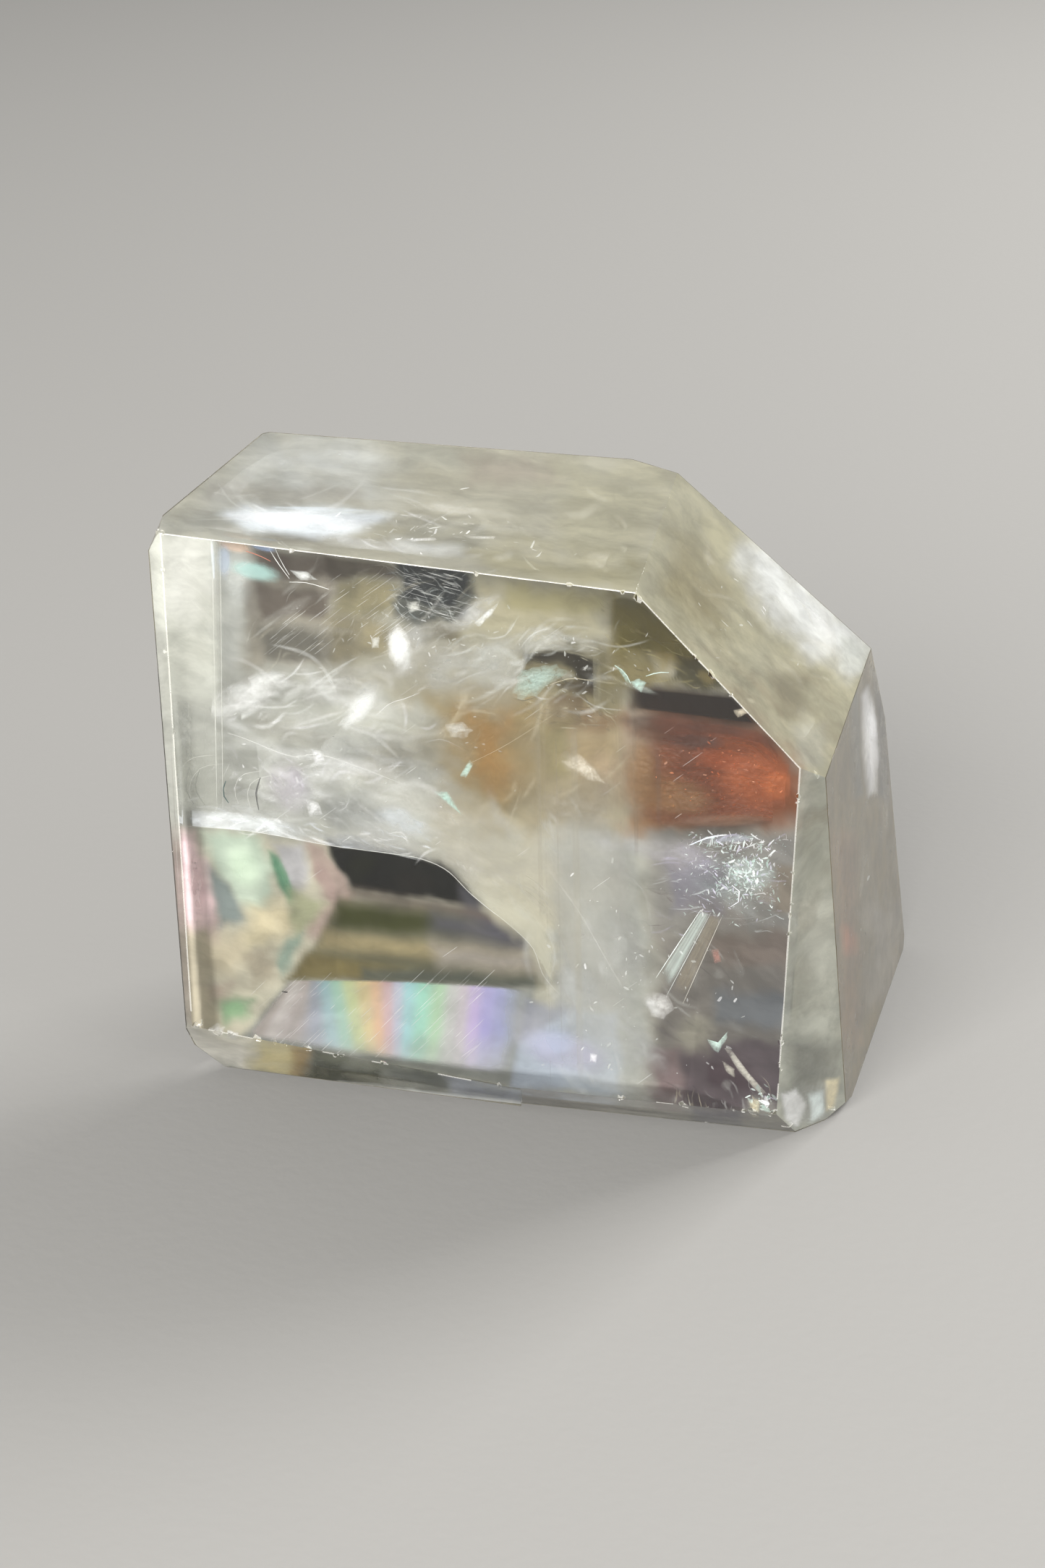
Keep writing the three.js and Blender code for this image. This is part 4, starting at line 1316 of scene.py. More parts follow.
VEIL_CLOUDS = (
    # x, y, reach along, reach across, turn, depth, colour, strength
    (552, 896, 40, 20, 74, 4.5, "#f6f8f8", 1.0), (494, 982, 44, 18, -50, 3.5, "#f6f8f8", 1.0),
    (800, 1062, 44, 20, 30, 4.5, "#cfc9bb", 0.7), (325, 965, 70, 34, -24, 5, "#ffffff", 0.9),
    (505, 962, 50, 24, -40, 5, "#dbdddd", 0.6), (345, 950, 80, 34, -18, 9, "#eef0ee", 0.8),
    (440, 950, 110, 38, -4, 9, "#a1a19c", 0.6), (290, 1000, 70, 46, 8, 7, "#eceeea", 0.75),
    (330, 1050, 110, 60, 14, 6, "#dcdeda", 0.65), (430, 1010, 110, 46, 16, 7, "#bbbdb9", 0.55),
    (528, 1044, 120, 46, 18, 5, "#6b6c67", 0.66), (400, 1090, 56, 40, 70, 5, "#c2bbc6", 0.8),
    (560, 1136, 62, 26, 18, 3.6, "#ced5dd", 0.9), (600, 1085, 80, 34, 28, 6, "#a1a29e", 0.55),
    (660, 1130, 90, 40, 30, 6, "#a7a59b", 0.5), (720, 1175, 90, 44, 34, 5, "#a9a89d", 0.5),
    (500, 1150, 70, 16, 16, 3.4, "#7a7d83", 0.6), (560, 900, 60, 34, -60, 6, "#e9ebed", 0.7),
    (480, 935, 90, 20, -12, 7, "#9c9c96", 0.55), (600, 872, 90, 16, -8, 8, "#8f8f8b", 0.45),
    (664, 842, 56, 22, -38, 6, "#d0d2d4", 0.75), (640, 930, 100, 30, -6, 7, "#979791", 0.5),
    (430, 868, 80, 10, 6, 7, "#939188", 0.5), (396, 845, 60, 12, -30, 7, "#a8a69f", 0.45),
    (450, 812, 26, 26, 0, 6, "#a29b8f", 0.5), (330, 800, 30, 60, 0, 4, "#dcdfdc", 0.6),
    (450, 880, 16, 44, 6, 6, "#9d9788", 0.5), (780, 985, 60, 12, 4, 6, "#948d7a", 0.15),
    (870, 1010, 22, 60, 0, 5, "#937d6c", 0.4), (830, 1080, 60, 60, 20, 6, "#877a69", 0.4),
    (800, 1130, 90, 50, 20, 6, "#908b7f", 0.5), (900, 1170, 120, 30, 6, 5, "#a2a1a2", 0.6),
    (830, 1220, 110, 60, 60, 5, "#96958e", 0.5), (860, 1300, 120, 44, 70, 5, "#969691", 0.5),
    (800, 1400, 130, 56, 80, 5, "#979999", 0.5), (880, 1440, 90, 40, 50, 4, "#929291", 0.45),
    (880, 1515, 90, 20, 5, 2, "#b5b6b2", 0.55), (945, 1185, 90, 30, 10, 4, "#b5aec3", 0.55),
    (1004, 1160, 60, 9, -2, 2.6, "#dfe7f4", 0.95), (1036, 1206, 46, 34, 6, 2.8, "#ddf1eb", 0.85),
    (1030, 1200, 24, 18, 6, 2.6, "#eff9f6", 0.8), (1000, 1215, 80, 54, 10, 3, "#9da9a6", 0.5),
    (1020, 1250, 40, 18, 30, 2.8, "#abb2b1", 0.6), (1068, 1235, 40, 24, 0, 3.5, "#867a6c", 0.5),
    (906, 1388, 30, 20, 50, 3, "#d2d2d0", 0.85), (1050, 1530, 34, 22, 0, 1.2, "#b0b1a4", 0.7),
    (880, 950, 40, 6, 18, 3, "#b5bdb2", 0.6),
)
SIDE_VEILS_AND_HIGHLIGHTS = (
    # the same, and the facet
    # Painted highlight: these first six clouds make the bright reflection on the top.
    (420, 724, 132, 22, 4, 0.42, "#e2e4e6", 0.8, "top"), (372, 716, 80, 16, 3, 0.34, "#e6e6e6", 0.85, "top"),
    (460, 722, 80, 15, 8, 0.34, "#e6e6e6", 0.7, "top"), (450, 704, 110, 4, 2, 0.3, "#dce2e6", 0.8, "top"),
    (500, 752, 110, 14, 9, 0.4, "#dcdedf", 0.6, "top"), (560, 758, 120, 14, 8, 0.46, "#dbdbd7", 0.55, "top"),
    (430, 635, 150, 26, 2, 0.46, "#d7d9d7", 0.5, "top"), (330, 660, 60, 30, -40, 0.46, "#d0d0cc", 0.4, "top"),
    (640, 706, 90, 9, 6, 0.46, "#ecebe6", 0.38, "top"), (300, 735, 80, 12, 4, 0.38, "#e4e2dc", 0.45, "top"),
    (900, 670, 40, 30, 10, 0.46, "#e6e4dc", 0.38, "top"), (840, 780, 60, 20, 20, 0.46, "#e4e2d8", 0.3, "top"),
    # Painted reflection: those shoulder clouds that lie along its back edge.
    (1135, 850, 80, 22, 46, 0.38, "#dfdfdf", 0.64, "shoulder"),
    (1060, 760, 70, 12, 44, 0.38, "#d4d2c9", 0.38, "shoulder"),
    (1120, 1010, 50, 20, 60, 0.38, "#cecdc2", 0.45, "shoulder"),
    (1132, 836, 86, 16, 44, 0.3, "#dfdfdf", 0.8, "shoulder"),
    (1185, 900, 40, 16, 60, 0.38, "#d6d4cd", 0.45, "shoulder"),
    # Painted highlight: the two white clouds on the right side.
    (1207, 1020, 96, 11, 86, 0.24, "#ffffff", 1.0, "right"), (1208, 1010, 70, 7, 86, 0.2, "#ffffff", 1.0, "right"),
    (1130, 1480, 40, 18, 100, 0.55, "#5d5c56", 0.52, "right_bevel"),
    (1120, 1200, 90, 8, 92, 0.38, "#d8d5c4", 0.38, "right_bevel"),
)
WISPS = (
    # Ranks of fine torn wisps: region, count, direction in degrees, lengths, widths, depths, colours, strength and,
    # where it isn't the front, the facet
    ((240, 940, 600, 930, 620, 1130, 240, 1120), 80, -24, (1.0, 5), (0.1, 0.6), (3, 5),
     ("#ffffff", "#f4f4fa", "#9c9c98"), 0.42),
    ((320, 1040, 440, 1050, 440, 1120, 300, 1110), 40, 60, (0.6, 2.5), (0.1, 0.4), (3, 4),
     ("#ffffff", "#e9e2f0", "#8c8c8a"), 0.5),
    ((240, 935, 600, 930, 620, 1130, 240, 1120), 64, 14, (3, 13), (0.5, 2.4), (3, 6),
     ("#fbfcfc", "#eceeec", "#b9bab6"), 0.4),
    ((280, 930, 460, 915, 460, 990, 280, 1010), 34, -30, (2, 8), (0.3, 1.8), (4, 7), ("#fbfcfc", "#eef0ee"), 0.5),
    ((245, 1116, 600, 1150, 600, 1185, 245, 1138), 60, 8, (1.0, 4), (0.12, 0.4), (2.4, 2.8), ("#ffffff", "#d9dee4"),
     0.7),
    ((340, 760, 660, 800, 660, 900, 340, 920), 80, -38, (1.0, 6), (0.12, 0.8), (4, 8), ("#d6d6cf", "#b9b4a2"), 0.45),
    ((540, 780, 660, 795, 655, 860, 545, 850), 60, 24, (0.8, 4), (0.08, 0.3), (5, 8), ("#a3a9a8", "#c6c9c6"), 0.9),
    ((540, 780, 660, 795, 655, 860, 545, 850), 44, -30, (0.8, 3), (0.1, 0.35), (5, 8), ("#8f9696", "#0c1011"), 0.9),
    ((600, 860, 860, 860, 850, 965, 600, 970), 70, -22, (1.5, 7), (0.2, 1.0), (4, 7), ("#e4e6e3", "#c6c9c4"), 0.55),
    ((720, 895, 850, 895, 850, 1010, 720, 1000), 90, 14, (0.6, 3.5), (0.1, 0.4), (4, 6),
     ("#b9b49c", "#3a3524", "#241f10"), 0.75),
    ((830, 830, 1000, 905, 1010, 955, 830, 950), 80, 30, (0.6, 3), (0.08, 0.4), (4, 7), ("#a79c6c", "#3a3518"), 0.55),
    ((600, 960, 860, 985, 860, 1130, 620, 1130), 60, -50, (1.5, 7), (0.3, 1.4), (4, 7), ("#c9c0a6", "#8a7a58"), 0.4),
    ((700, 1110, 900, 1120, 900, 1500, 780, 1500), 60, 66, (2, 9), (0.3, 1.8), (3, 6), ("#c7c9c6", "#aeb1ae"), 0.42),
    ((905, 1160, 1098, 1150, 1095, 1290, 905, 1290), 110, 4, (0.8, 5), (0.06, 0.3), (2.4, 4),
     ("#e4ecea", "#c9c4dc", "#5a504c"), 0.7),
    ((905, 1290, 1095, 1290, 1085, 1530, 905, 1520), 60, 30, (1.0, 6), (0.2, 1.2), (3, 6), ("#b2b3ae", "#3c3438"),
     0.4),
    ((925, 1500, 1075, 1500, 1070, 1545, 925, 1535), 30, 70, (0.6, 2.5), (0.08, 0.5), (1, 2.5), ("#e9eae4", "#dcd3b6"),
     0.6),
    ((300, 735, 320, 660, 700, 680, 700, 770), 36, 6, (2, 10), (0.3, 1.2), (0.3, 0.5), ("#ffffff", "#d6d6cf"), 0.45,
     "top"),
    ((600, 680, 900, 670, 880, 800, 700, 790), 24, 30, (2, 7), (0.4, 1.6), (0.3, 0.5), ("#e4e2d2", "#8f8a70"), 0.35,
     "top"),
    ((900, 820, 960, 680, 1180, 900, 1130, 1040), 30, 40, (2, 8), (0.4, 1.6), (0.3, 0.5), ("#eceade", "#8f8a70"), 0.35,
     "shoulder"),
)
INNER_PANES = (
    # Healed fractures behind the front depth, in the block's own millimetres: corner, two edges, colour, strength
    ((-26, 2, 4), (44, 10, 8), (4, -4, 34), "#e4e2d8", 0.8),
    ((-22, 12, 2), (38, -6, 2), (0, 2, 26), "#d9d2bc", 0.6),
    ((-10, -4, 10), (26, 16, 10), (-6, 8, 26), "#efeee8", 0.85),
    ((4, 4, 4), (22, -2, 6), (0, -6, 30), "#c9a884", 0.6),
    ((-28, -2, 26), (40, 6, -6), (2, 16, 4), "#eceae2", 0.75),
    ((-16, 0, 40), (40, 4, 2), (0, 12, -3), "#e8e6dc", 0.6),
    ((10, -6, 14), (6, 20, 4), (4, -2, 26), "#d8d4c6", 0.6),
    ((-24, -6, 8), (6, 22, -2), (-2, 2, 30), "#dcdad0", 0.6),
    ((-20, 8, 6), (34, 2, 12), (2, 6, 12), "#b9986c", 0.5),
)


class CALCITE_OT_veils(bpy.types.Operator):
    """Builds the healed fractures: the main veil, the fan veil and the curtain, and painted highlights under the top,
    the shoulder and the right side
    """

    bl_idname = "calcite.veils"
    bl_label = "Healed fracture veils"

    def execute(self, context):
        piece = Piece("healed_fracture_veils", 5, context.scene.calcite_veils.strength)
        for row in VEIL_SHEETS:
            piece.sheet(*row)
        for row in VEIL_CLOUDS + SIDE_VEILS_AND_HIGHLIGHTS:
            piece.cloud(*row)
        for row in WISPS:
            piece.wisps(*row)
        for row in INNER_PANES:
            piece.pane(*row)
        piece.done(sheet_finish("healed_veil", veil_alpha, 0.45, 0.35, shine=0.4, bump_size=0.6, bump_strength=0.25,
                                tear=0.8))
        return {"FINISHED"}


# ---------------------------------------------------------------- iron stain
STAIN_SHEETS = (
    # first rail, second rail, depths, colours, strength, fades, relief, mesh step and, where it isn't the front, facet
    ((858, 985, 960, 990, 1045, 1004, 1106, 1070), (858, 1150, 960, 1150, 1040, 1142, 1103, 1142), (4.5, 4.5),
     ("#754525", "#753e21", "#8b4924", "#9b572d"), 0.8, (5.0, 0.1, 2.0, 1.5), 0.3, 0.5),
    ((1186, 1150, 1196, 1300, 1206, 1420), (1154, 1150, 1162, 1300, 1178, 1450), (1.6, 1.6), "#9a6848", 0.65,
     (2, 2, 1.0, 0.2), 0.05, 0.8, "right"),
)
STAIN_CLOUDS = (
    # x, y, reach along, reach across, turn, depth, colour, strength
    (935, 1003, 60, 20, 6, 2.9, "#6c3a20", 0.6), (1052, 1080, 90, 56, 10, 3.0, "#be6837", 0.6),
    (1000, 1052, 60, 20, 8, 3.2, "#aa572b", 0.6), (955, 1024, 60, 14, 4, 3.0, "#3d1d0b", 0.7),
    (900, 1014, 50, 16, 4, 3.2, "#5d361a", 0.6), (925, 1100, 90, 40, 8, 3.4, "#92693d", 0.65),
    (1076, 1085, 34, 30, 0, 2.6, "#da7c3e", 0.4), (885, 1070, 30, 70, 0, 3.0, "#95744e", 0.6),
    (680, 1035, 120, 100, 60, 8.0, "#9d804f", 0.3), (900, 1000, 60, 18, 6, 3.2, "#3b210f", 0.7),
    (985, 1008, 70, 10, 6, 3.0, "#4b2610", 0.6), (1000, 1134, 100, 13, -2, 2.8, "#8d6c55", 0.6),
    (1040, 1018, 60, 12, 12, 2.8, "#6d3619", 0.5),
)
SIDE_STAIN = (1174, 1300, 30, 10, 80, 1.3, "#d8703c", 0.8, "right")


class CALCITE_OT_stain(bpy.types.Operator):
    """Builds the rust-orange iron stain behind the right of the front facet"""

    bl_idname = "calcite.stain"
    bl_label = "Iron stain"

    def execute(self, context):
        piece = Piece("iron_stain", 6)
        piece.sheet(*STAIN_SHEETS[0])
        for row in STAIN_CLOUDS:
            piece.cloud(*row)
        piece.sheet(*STAIN_SHEETS[1])
        piece.cloud(*SIDE_STAIN)
        piece.done(sheet_finish("iron_stain", stain_alpha, 0.5, 0.4, shine=0.3, bump_size=0.4, bump_strength=0.3,
                                colour_of=stain_colour), shades=True)
        return {"FINISHED"}


# ---------------------------------------------------------------- colour films
FRINGES = (
    # The interference colours of the film above the base, from its left end: x at its top, x at its foot, colour
    (398, 338, "#867c75"), (412, 362, "#aaa29e"), (424, 398, "#9b908d"), (434, 440, "#7b818f"), (448, 462, "#78989e"),
    (463, 482, "#79a18d"), (482, 500, "#98a264"), (502, 514, "#af9954"), (519, 526, "#b48550"), (535, 538, "#a17a7c"),
    (550, 549, "#8a8ea1"), (566, 560, "#69a4a8"), (586, 576, "#67ad94"), (609, 598, "#7ea57b"), (628, 618, "#9d9e99"),
    (642, 634, "#a0959d"), (658, 650, "#9782b1"), (676, 668, "#746ca8"), (694, 688, "#61659a"), (710, 706, "#556284"),
    (730, 728, "#5c666c"),
)
FRINGE_TOP = (396, 1354, 550, 1355, 742, 1366)
FRINGE_FOOT = (332, 1437, 520, 1468, 728, 1497)
FRINGE_LEVELS = (1356, 1458)  # y of the two xs above
FRINGE_END = "#7f817a"  # what the colours pale to below the foot
FILMS = (
    # x, y, reach along, reach across, turn, depth, colour, strength
    (338, 1200, 44, 30, 60, 5, "#cfe2cc", 0.35), (393, 1210, 36, 7, 68, 5, "#6f9c7c", 0.55),
    (450, 1218, 46, 16, 62, 5, "#b09490", 0.4), (376, 1276, 30, 18, 40, 6, "#e6dcc0", 0.35),
    (326, 1396, 24, 16, 0, 3, "#86ad82", 0.5), (272, 1225, 60, 22, 78, 3, "#b89ca0", 0.35),
    (780, 1455, 90, 40, 15, 3, "#b8b4cc", 0.5), (760, 1440, 50, 30, 0, 3, "#aebcd4", 0.4),
    (324, 755, 34, 12, 12, 2, "#e8c4a8", 0.75), (364, 757, 26, 7, 12, 2, "#a8bfe6", 0.7),
    (352, 790, 50, 18, 12, 2, "#b4ddd6", 0.75), (310, 775, 14, 34, 0, 2, "#c4d4ee", 0.5),
)


class CALCITE_OT_films(bpy.types.Operator):
    """Builds the thin films that show interference colours"""

    bl_idname = "calcite.films"
    bl_label = "Colour films"

    def fringe(self, x, y):
        """The film's colour at a frame point; it pales towards the foot."""
        down = min(max((y - FRINGE_LEVELS[0]) / (FRINGE_LEVELS[1] - FRINGE_LEVELS[0]), 0.0), 1.2)
        lines = [(top + (foot - top) * down, Vector(linear(code))) for top, foot, code in FRINGES]
        colour = lines[0][1]
        for (low, first), (high, second) in zip(lines, lines[1:]):
            if x > low:
                colour = first.lerp(second, smoothstep((x - low) / (high - low)))
        return tuple(colour.lerp(Vector(linear(FRINGE_END)), 0.6 * smoothstep((down - 0.6) / 0.6)))

    def execute(self, context):
        piece = Piece("colour_films", 7)
        piece.sheet(FRINGE_TOP, FRINGE_FOOT, (5, 1.5), self.fringe, 0.9, (1.2, 4.0, 0.5, 1.6), relief=0.1, step=0.35)
        for row in FILMS:
            piece.cloud(*row)
        piece.done(sheet_finish("interference_film", film_alpha, 0.35, 0.4))
        return {"FINISHED"}


# ---------------------------------------------------------------- lamellae
LAMELLAE_AND_GLINT = (
    # x, width, top, foot, colour, strength
    (738, 8, 940, 1290, "#d4cfba", 0.28), (749, 3, 950, 1520, "#e4e1cf", 0.45), (766, 4, 1000, 1500, "#dcd7c6", 0.25),
    (787, 12, 990, 1510, "#cfcab6", 0.3), (817, 14, 880, 1000, "#d2cfb8", 0.25), (834, 26, 850, 1190, "#a8a080", 0.2),
    (872, 8, 970, 1200, "#b8a890", 0.3), (722, 4, 860, 960, "#dcd8cc", 0.4), (852, 3, 880, 1100, "#dcd8c4", 0.4),
    # Painted glint: the second here, the bright blue-white strip at the front's top left corner.
    (300, 4, 742, 1118, "#f0f0e6", 0.6), (294, 11, 740, 800, "#eef6ff", 0.9), (905, 9, 1020, 1160, "#8c8078", 0.35),
    (254, 5, 760, 1120, "#f4f4ea", 0.35), (276, 3, 745, 1120, "#f4f4ea", 0.3),
)
LEAN = 0.02  # frame points across for each one down


class CALCITE_OT_lamellae(bpy.types.Operator):
    """Builds the fine upright twin lamellae and a painted glint"""

    bl_idname = "calcite.lamellae"
    bl_label = "Twin lamellae"

    def execute(self, context):
        piece = Piece("twin_lamellae", 8, context.scene.calcite_veils.strength)
        for x, width, top, foot, tint, strength in LAMELLAE_AND_GLINT:
            lean = (foot - top) * LEAN
            piece.sheet((x, top, x + lean, foot), (x + width, top, x + width + lean, foot), (2.6, 3.6), tint, strength,
                        (3, 3, 0.15, 0.15), relief=0.1)
        piece.done(sheet_finish("twin_lamella", lamella_alpha, 0.35, 0.35))
        return {"FINISHED"}


# ---------------------------------------------------------------- flakes
# The smallest strewn flakes are drawn about twice as large as real ones, so that they show.
FLAKES = (
    # outline, depth, colour, strength and, where they differ from (1, 1) and the front, slope and facet
    ((538, 885, 548, 862, 560, 872, 568, 890, 558, 915, 545, 922, 537, 908), 4, "#ffffff", 0.55, (3, -2)),
    ((500, 962, 518, 955, 518, 975, 500, 998, 480, 1010, 466, 1004, 480, 980), 3, "#fafcfa", 0.55, (-3, 2)),
    ((430, 1035, 446, 1040, 450, 1052, 436, 1056), 3, "#ffffff", 0.9, (2, 2)),
    ((420, 1105, 440, 1110, 446, 1126, 428, 1130), 3, "#ffffff", 0.9, (2, 2)),
    ((655, 862, 672, 846, 690, 832, 680, 850, 664, 866), 5, "#fafcfa", 0.95, (2, 1)),
    ((716, 942, 720, 926, 745, 922, 770, 918, 787, 928, 762, 944, 742, 963, 722, 968, 708, 958), 3, "#c6e0d6", 0.75,
     (1, 2)),
    ((872, 942, 884, 938, 894, 944, 887, 958, 878, 952), 3, "#d2f0e6", 0.95, (2, 1)),
    ((850, 918, 864, 928, 874, 944, 866, 944), 3, "#b4ccbe", 0.8),
    ((775, 1052, 800, 1042, 822, 1062, 838, 1084, 812, 1078), 4, "#e6dfcc", 0.45, (1, -2)),
    ((600, 1094, 618, 1094, 640, 1128, 612, 1106), 3, "#c4e8dc", 0.85),
    ((636, 1072, 650, 1050, 655, 1056, 644, 1076), 3, "#cdece0", 0.85),
    ((615, 1002, 640, 998, 655, 1010, 640, 1022, 622, 1018), 4, "#e6e6e0", 0.6),
    ((562, 834, 578, 830, 582, 844, 566, 848), 5, "#e4e4dc", 0.9),
    ((513, 882, 525, 880, 524, 896, 514, 897), 5, "#e4e4dc", 0.9),
    ((400, 788, 424, 790, 440, 802, 416, 802), 3, "#f0f2ee", 0.9),
    ((1014, 982, 1032, 978, 1036, 986, 1020, 992), 3, "#e6dbc4", 0.9),
    ((978, 1437, 992, 1443, 1007, 1425, 1003, 1440, 993, 1456, 984, 1448), 2, "#dcf4e8", 0.95),
    ((1002, 1450, 1012, 1452, 1036, 1484, 1060, 1512, 1050, 1512, 1022, 1482), 2, "#dcd8ca", 0.9),
    ((998, 1466, 1016, 1478, 1016, 1490, 1004, 1482), 2, "#d2cdbe", 0.8),
    ((816, 1456, 826, 1458, 824, 1470, 815, 1468), 2, "#fbf9fd", 0.95),
    ((893, 1386, 904, 1372, 924, 1376, 932, 1396, 918, 1410, 900, 1404), 3, "#f4f2ee", 0.6),
    ((983, 1314, 994, 1312, 997, 1330, 988, 1332), 3, "#b8867a", 0.8),
    ((1036, 1522, 1050, 1520, 1050, 1546, 1038, 1546), 1.2, "#e4d9b6", 0.9),
    ((935, 1538, 960, 1540, 958, 1530, 940, 1528), 1.0, "#f0eee4", 0.9),
    ((288, 1422, 300, 1414, 312, 1420, 306, 1432, 292, 1432), 0.8, "#ffffff", 0.8),
    ((314, 1424, 330, 1428, 326, 1438, 312, 1436), 0.8, "#ffffff", 0.9),
    ((236, 1254, 254, 1258, 252, 1263, 238, 1260), 0.5, "#ffffff", 0.9),
    ((560, 745, 600, 743, 604, 747, 570, 749), 0.8, "#ffffff", 0.5, (1, 1), "top"),
    ((640, 740, 700, 742, 704, 746, 652, 745), 0.8, "#f4f3ec", 0.4, (1, 1), "top"),
)
PALE = ("#fafbf8", "#eceee9", "#e0e2dc", "#ffffff")
MINTY = ("#eefcf6", "#d6f0e6", "#fafffd", "#e4e0f2", "#ffffff", "#c4d4cc")
RUSTY = ("#f09a68", "#d87848", "#e6b090")
STREWN = (
    # region, count, sizes, depths, colours, strength, stretch and, where it isn't the front, the facet
    ((380, 780, 700, 810, 700, 960, 380, 960), 120, (0.05, 0.34), (3, 9), PALE, 0.55, 1.8),
    ((240, 950, 760, 960, 760, 1180, 240, 1150), 110, (0.05, 0.3), (2, 6), PALE, 0.5, 1.6),
    ((620, 820, 920, 870, 920, 1010, 620, 990), 80, (0.06, 0.4), (2, 6), PALE, 0.6, 1.8),
    ((925, 1150, 1102, 1140, 1102, 1290, 925, 1280), 420, (0.05, 0.3), (1.5, 3), MINTY, 0.8, 2.0),
    ((975, 1170, 1080, 1170, 1080, 1250, 975, 1250), 300, (0.08, 0.42), (1.5, 3), MINTY, 0.9, 1.8),
    ((930, 1148, 1095, 1150, 1095, 1182, 930, 1180), 160, (0.08, 0.42), (1.5, 3), MINTY, 0.9, 2.4),
    ((890, 990, 1100, 1040, 1100, 1140, 890, 1130), 70, (0.08, 0.34), (2, 3), RUSTY, 0.8, 1.5),
    ((700, 1150, 1080, 1200, 1080, 1540, 700, 1500), 110, (0.1, 0.45), (1.5, 5), PALE, 0.6, 1.6),
    ((300, 690, 900, 720, 880, 800, 300, 740), 80, (0.1, 0.6), (0.6, 1.0), PALE, 0.7, 2.6, "top"),
    ((890, 815, 940, 660, 1195, 890, 1120, 1050), 50, (0.1, 0.5), (0.6, 0.9), PALE, 0.6, 2.0, "shoulder"),
    ((1030, 1500, 1080, 1500, 1075, 1540, 1030, 1540), 30, (0.2, 0.9), (0.6, 2), MINTY, 0.9, 1.6),
)
REAR_FLAKES = 1400  # tries; those that fall outside the stone or in its front are dropped
REAR_START = 12 * MM  # behind the block's foremost point


class CALCITE_OT_flakes(bpy.types.Operator):
    """Builds the bright cleavage flakes, large and strewn"""

    bl_idname = "calcite.flakes"
    bl_label = "Cleavage flakes"

    def execute(self, context):
        piece = Piece("cleavage_flakes", context.scene.calcite_veils.seed)
        for row in FLAKES:
            piece.plate(*row)
        for row in STREWN:
            piece.scatter(*row)
        chance = piece.chance
        for _ in range(REAR_FLAKES):
            place = Vector([chance.uniform(a, b) for a, b in zip(*CAD_BOX)])
            if place.y > CAD_BOX[0][1] + REAR_START and piece.within(place):
                piece.speck(place, 0.12 + 0.7 * chance.random() ** 3, chance.choice(PALE), 0.8, 1.9,
                            (chance.uniform(-1, 1), 1, chance.uniform(-0.5, 0.5)))
        piece.done(sheet_finish("cleavage_flake", flake_alpha, 0.2, 0.3, shine=0.9, bump_size=0.3, bump_strength=0.3),
                   smooth=False)
        return {"FINISHED"}


# ---------------------------------------------------------------- needle
NEEDLE_SIDES = (
    # first rail, second rail, depths, colour, strength
    ((969, 1258, 907, 1352), (983, 1262, 922, 1376), (3.0, 2.7), "#d4e2da", 0.55),
    ((983, 1262, 922, 1376), (998, 1268, 944, 1388), (2.7, 3.3), "#a89c84", 0.5),
)


class CALCITE_OT_needle(bpy.types.Operator):
    """Builds the included needle crystal at the lower right"""

    bl_idname = "calcite.needle"
    bl_label = "Needle crystal"

    def execute(self, context):
        piece = Piece("needle_crystal", 9)
        for row in NEEDLE_SIDES:
            piece.sheet(*row, (0.5, 2.5, 0.06, 0.06), relief=0.02, step=0.3)
        piece.done(sheet_finish("needle_crystal", lamella_alpha, 0.2, 0.3, shine=0.8), smooth=False)
        return {"FINISHED"}


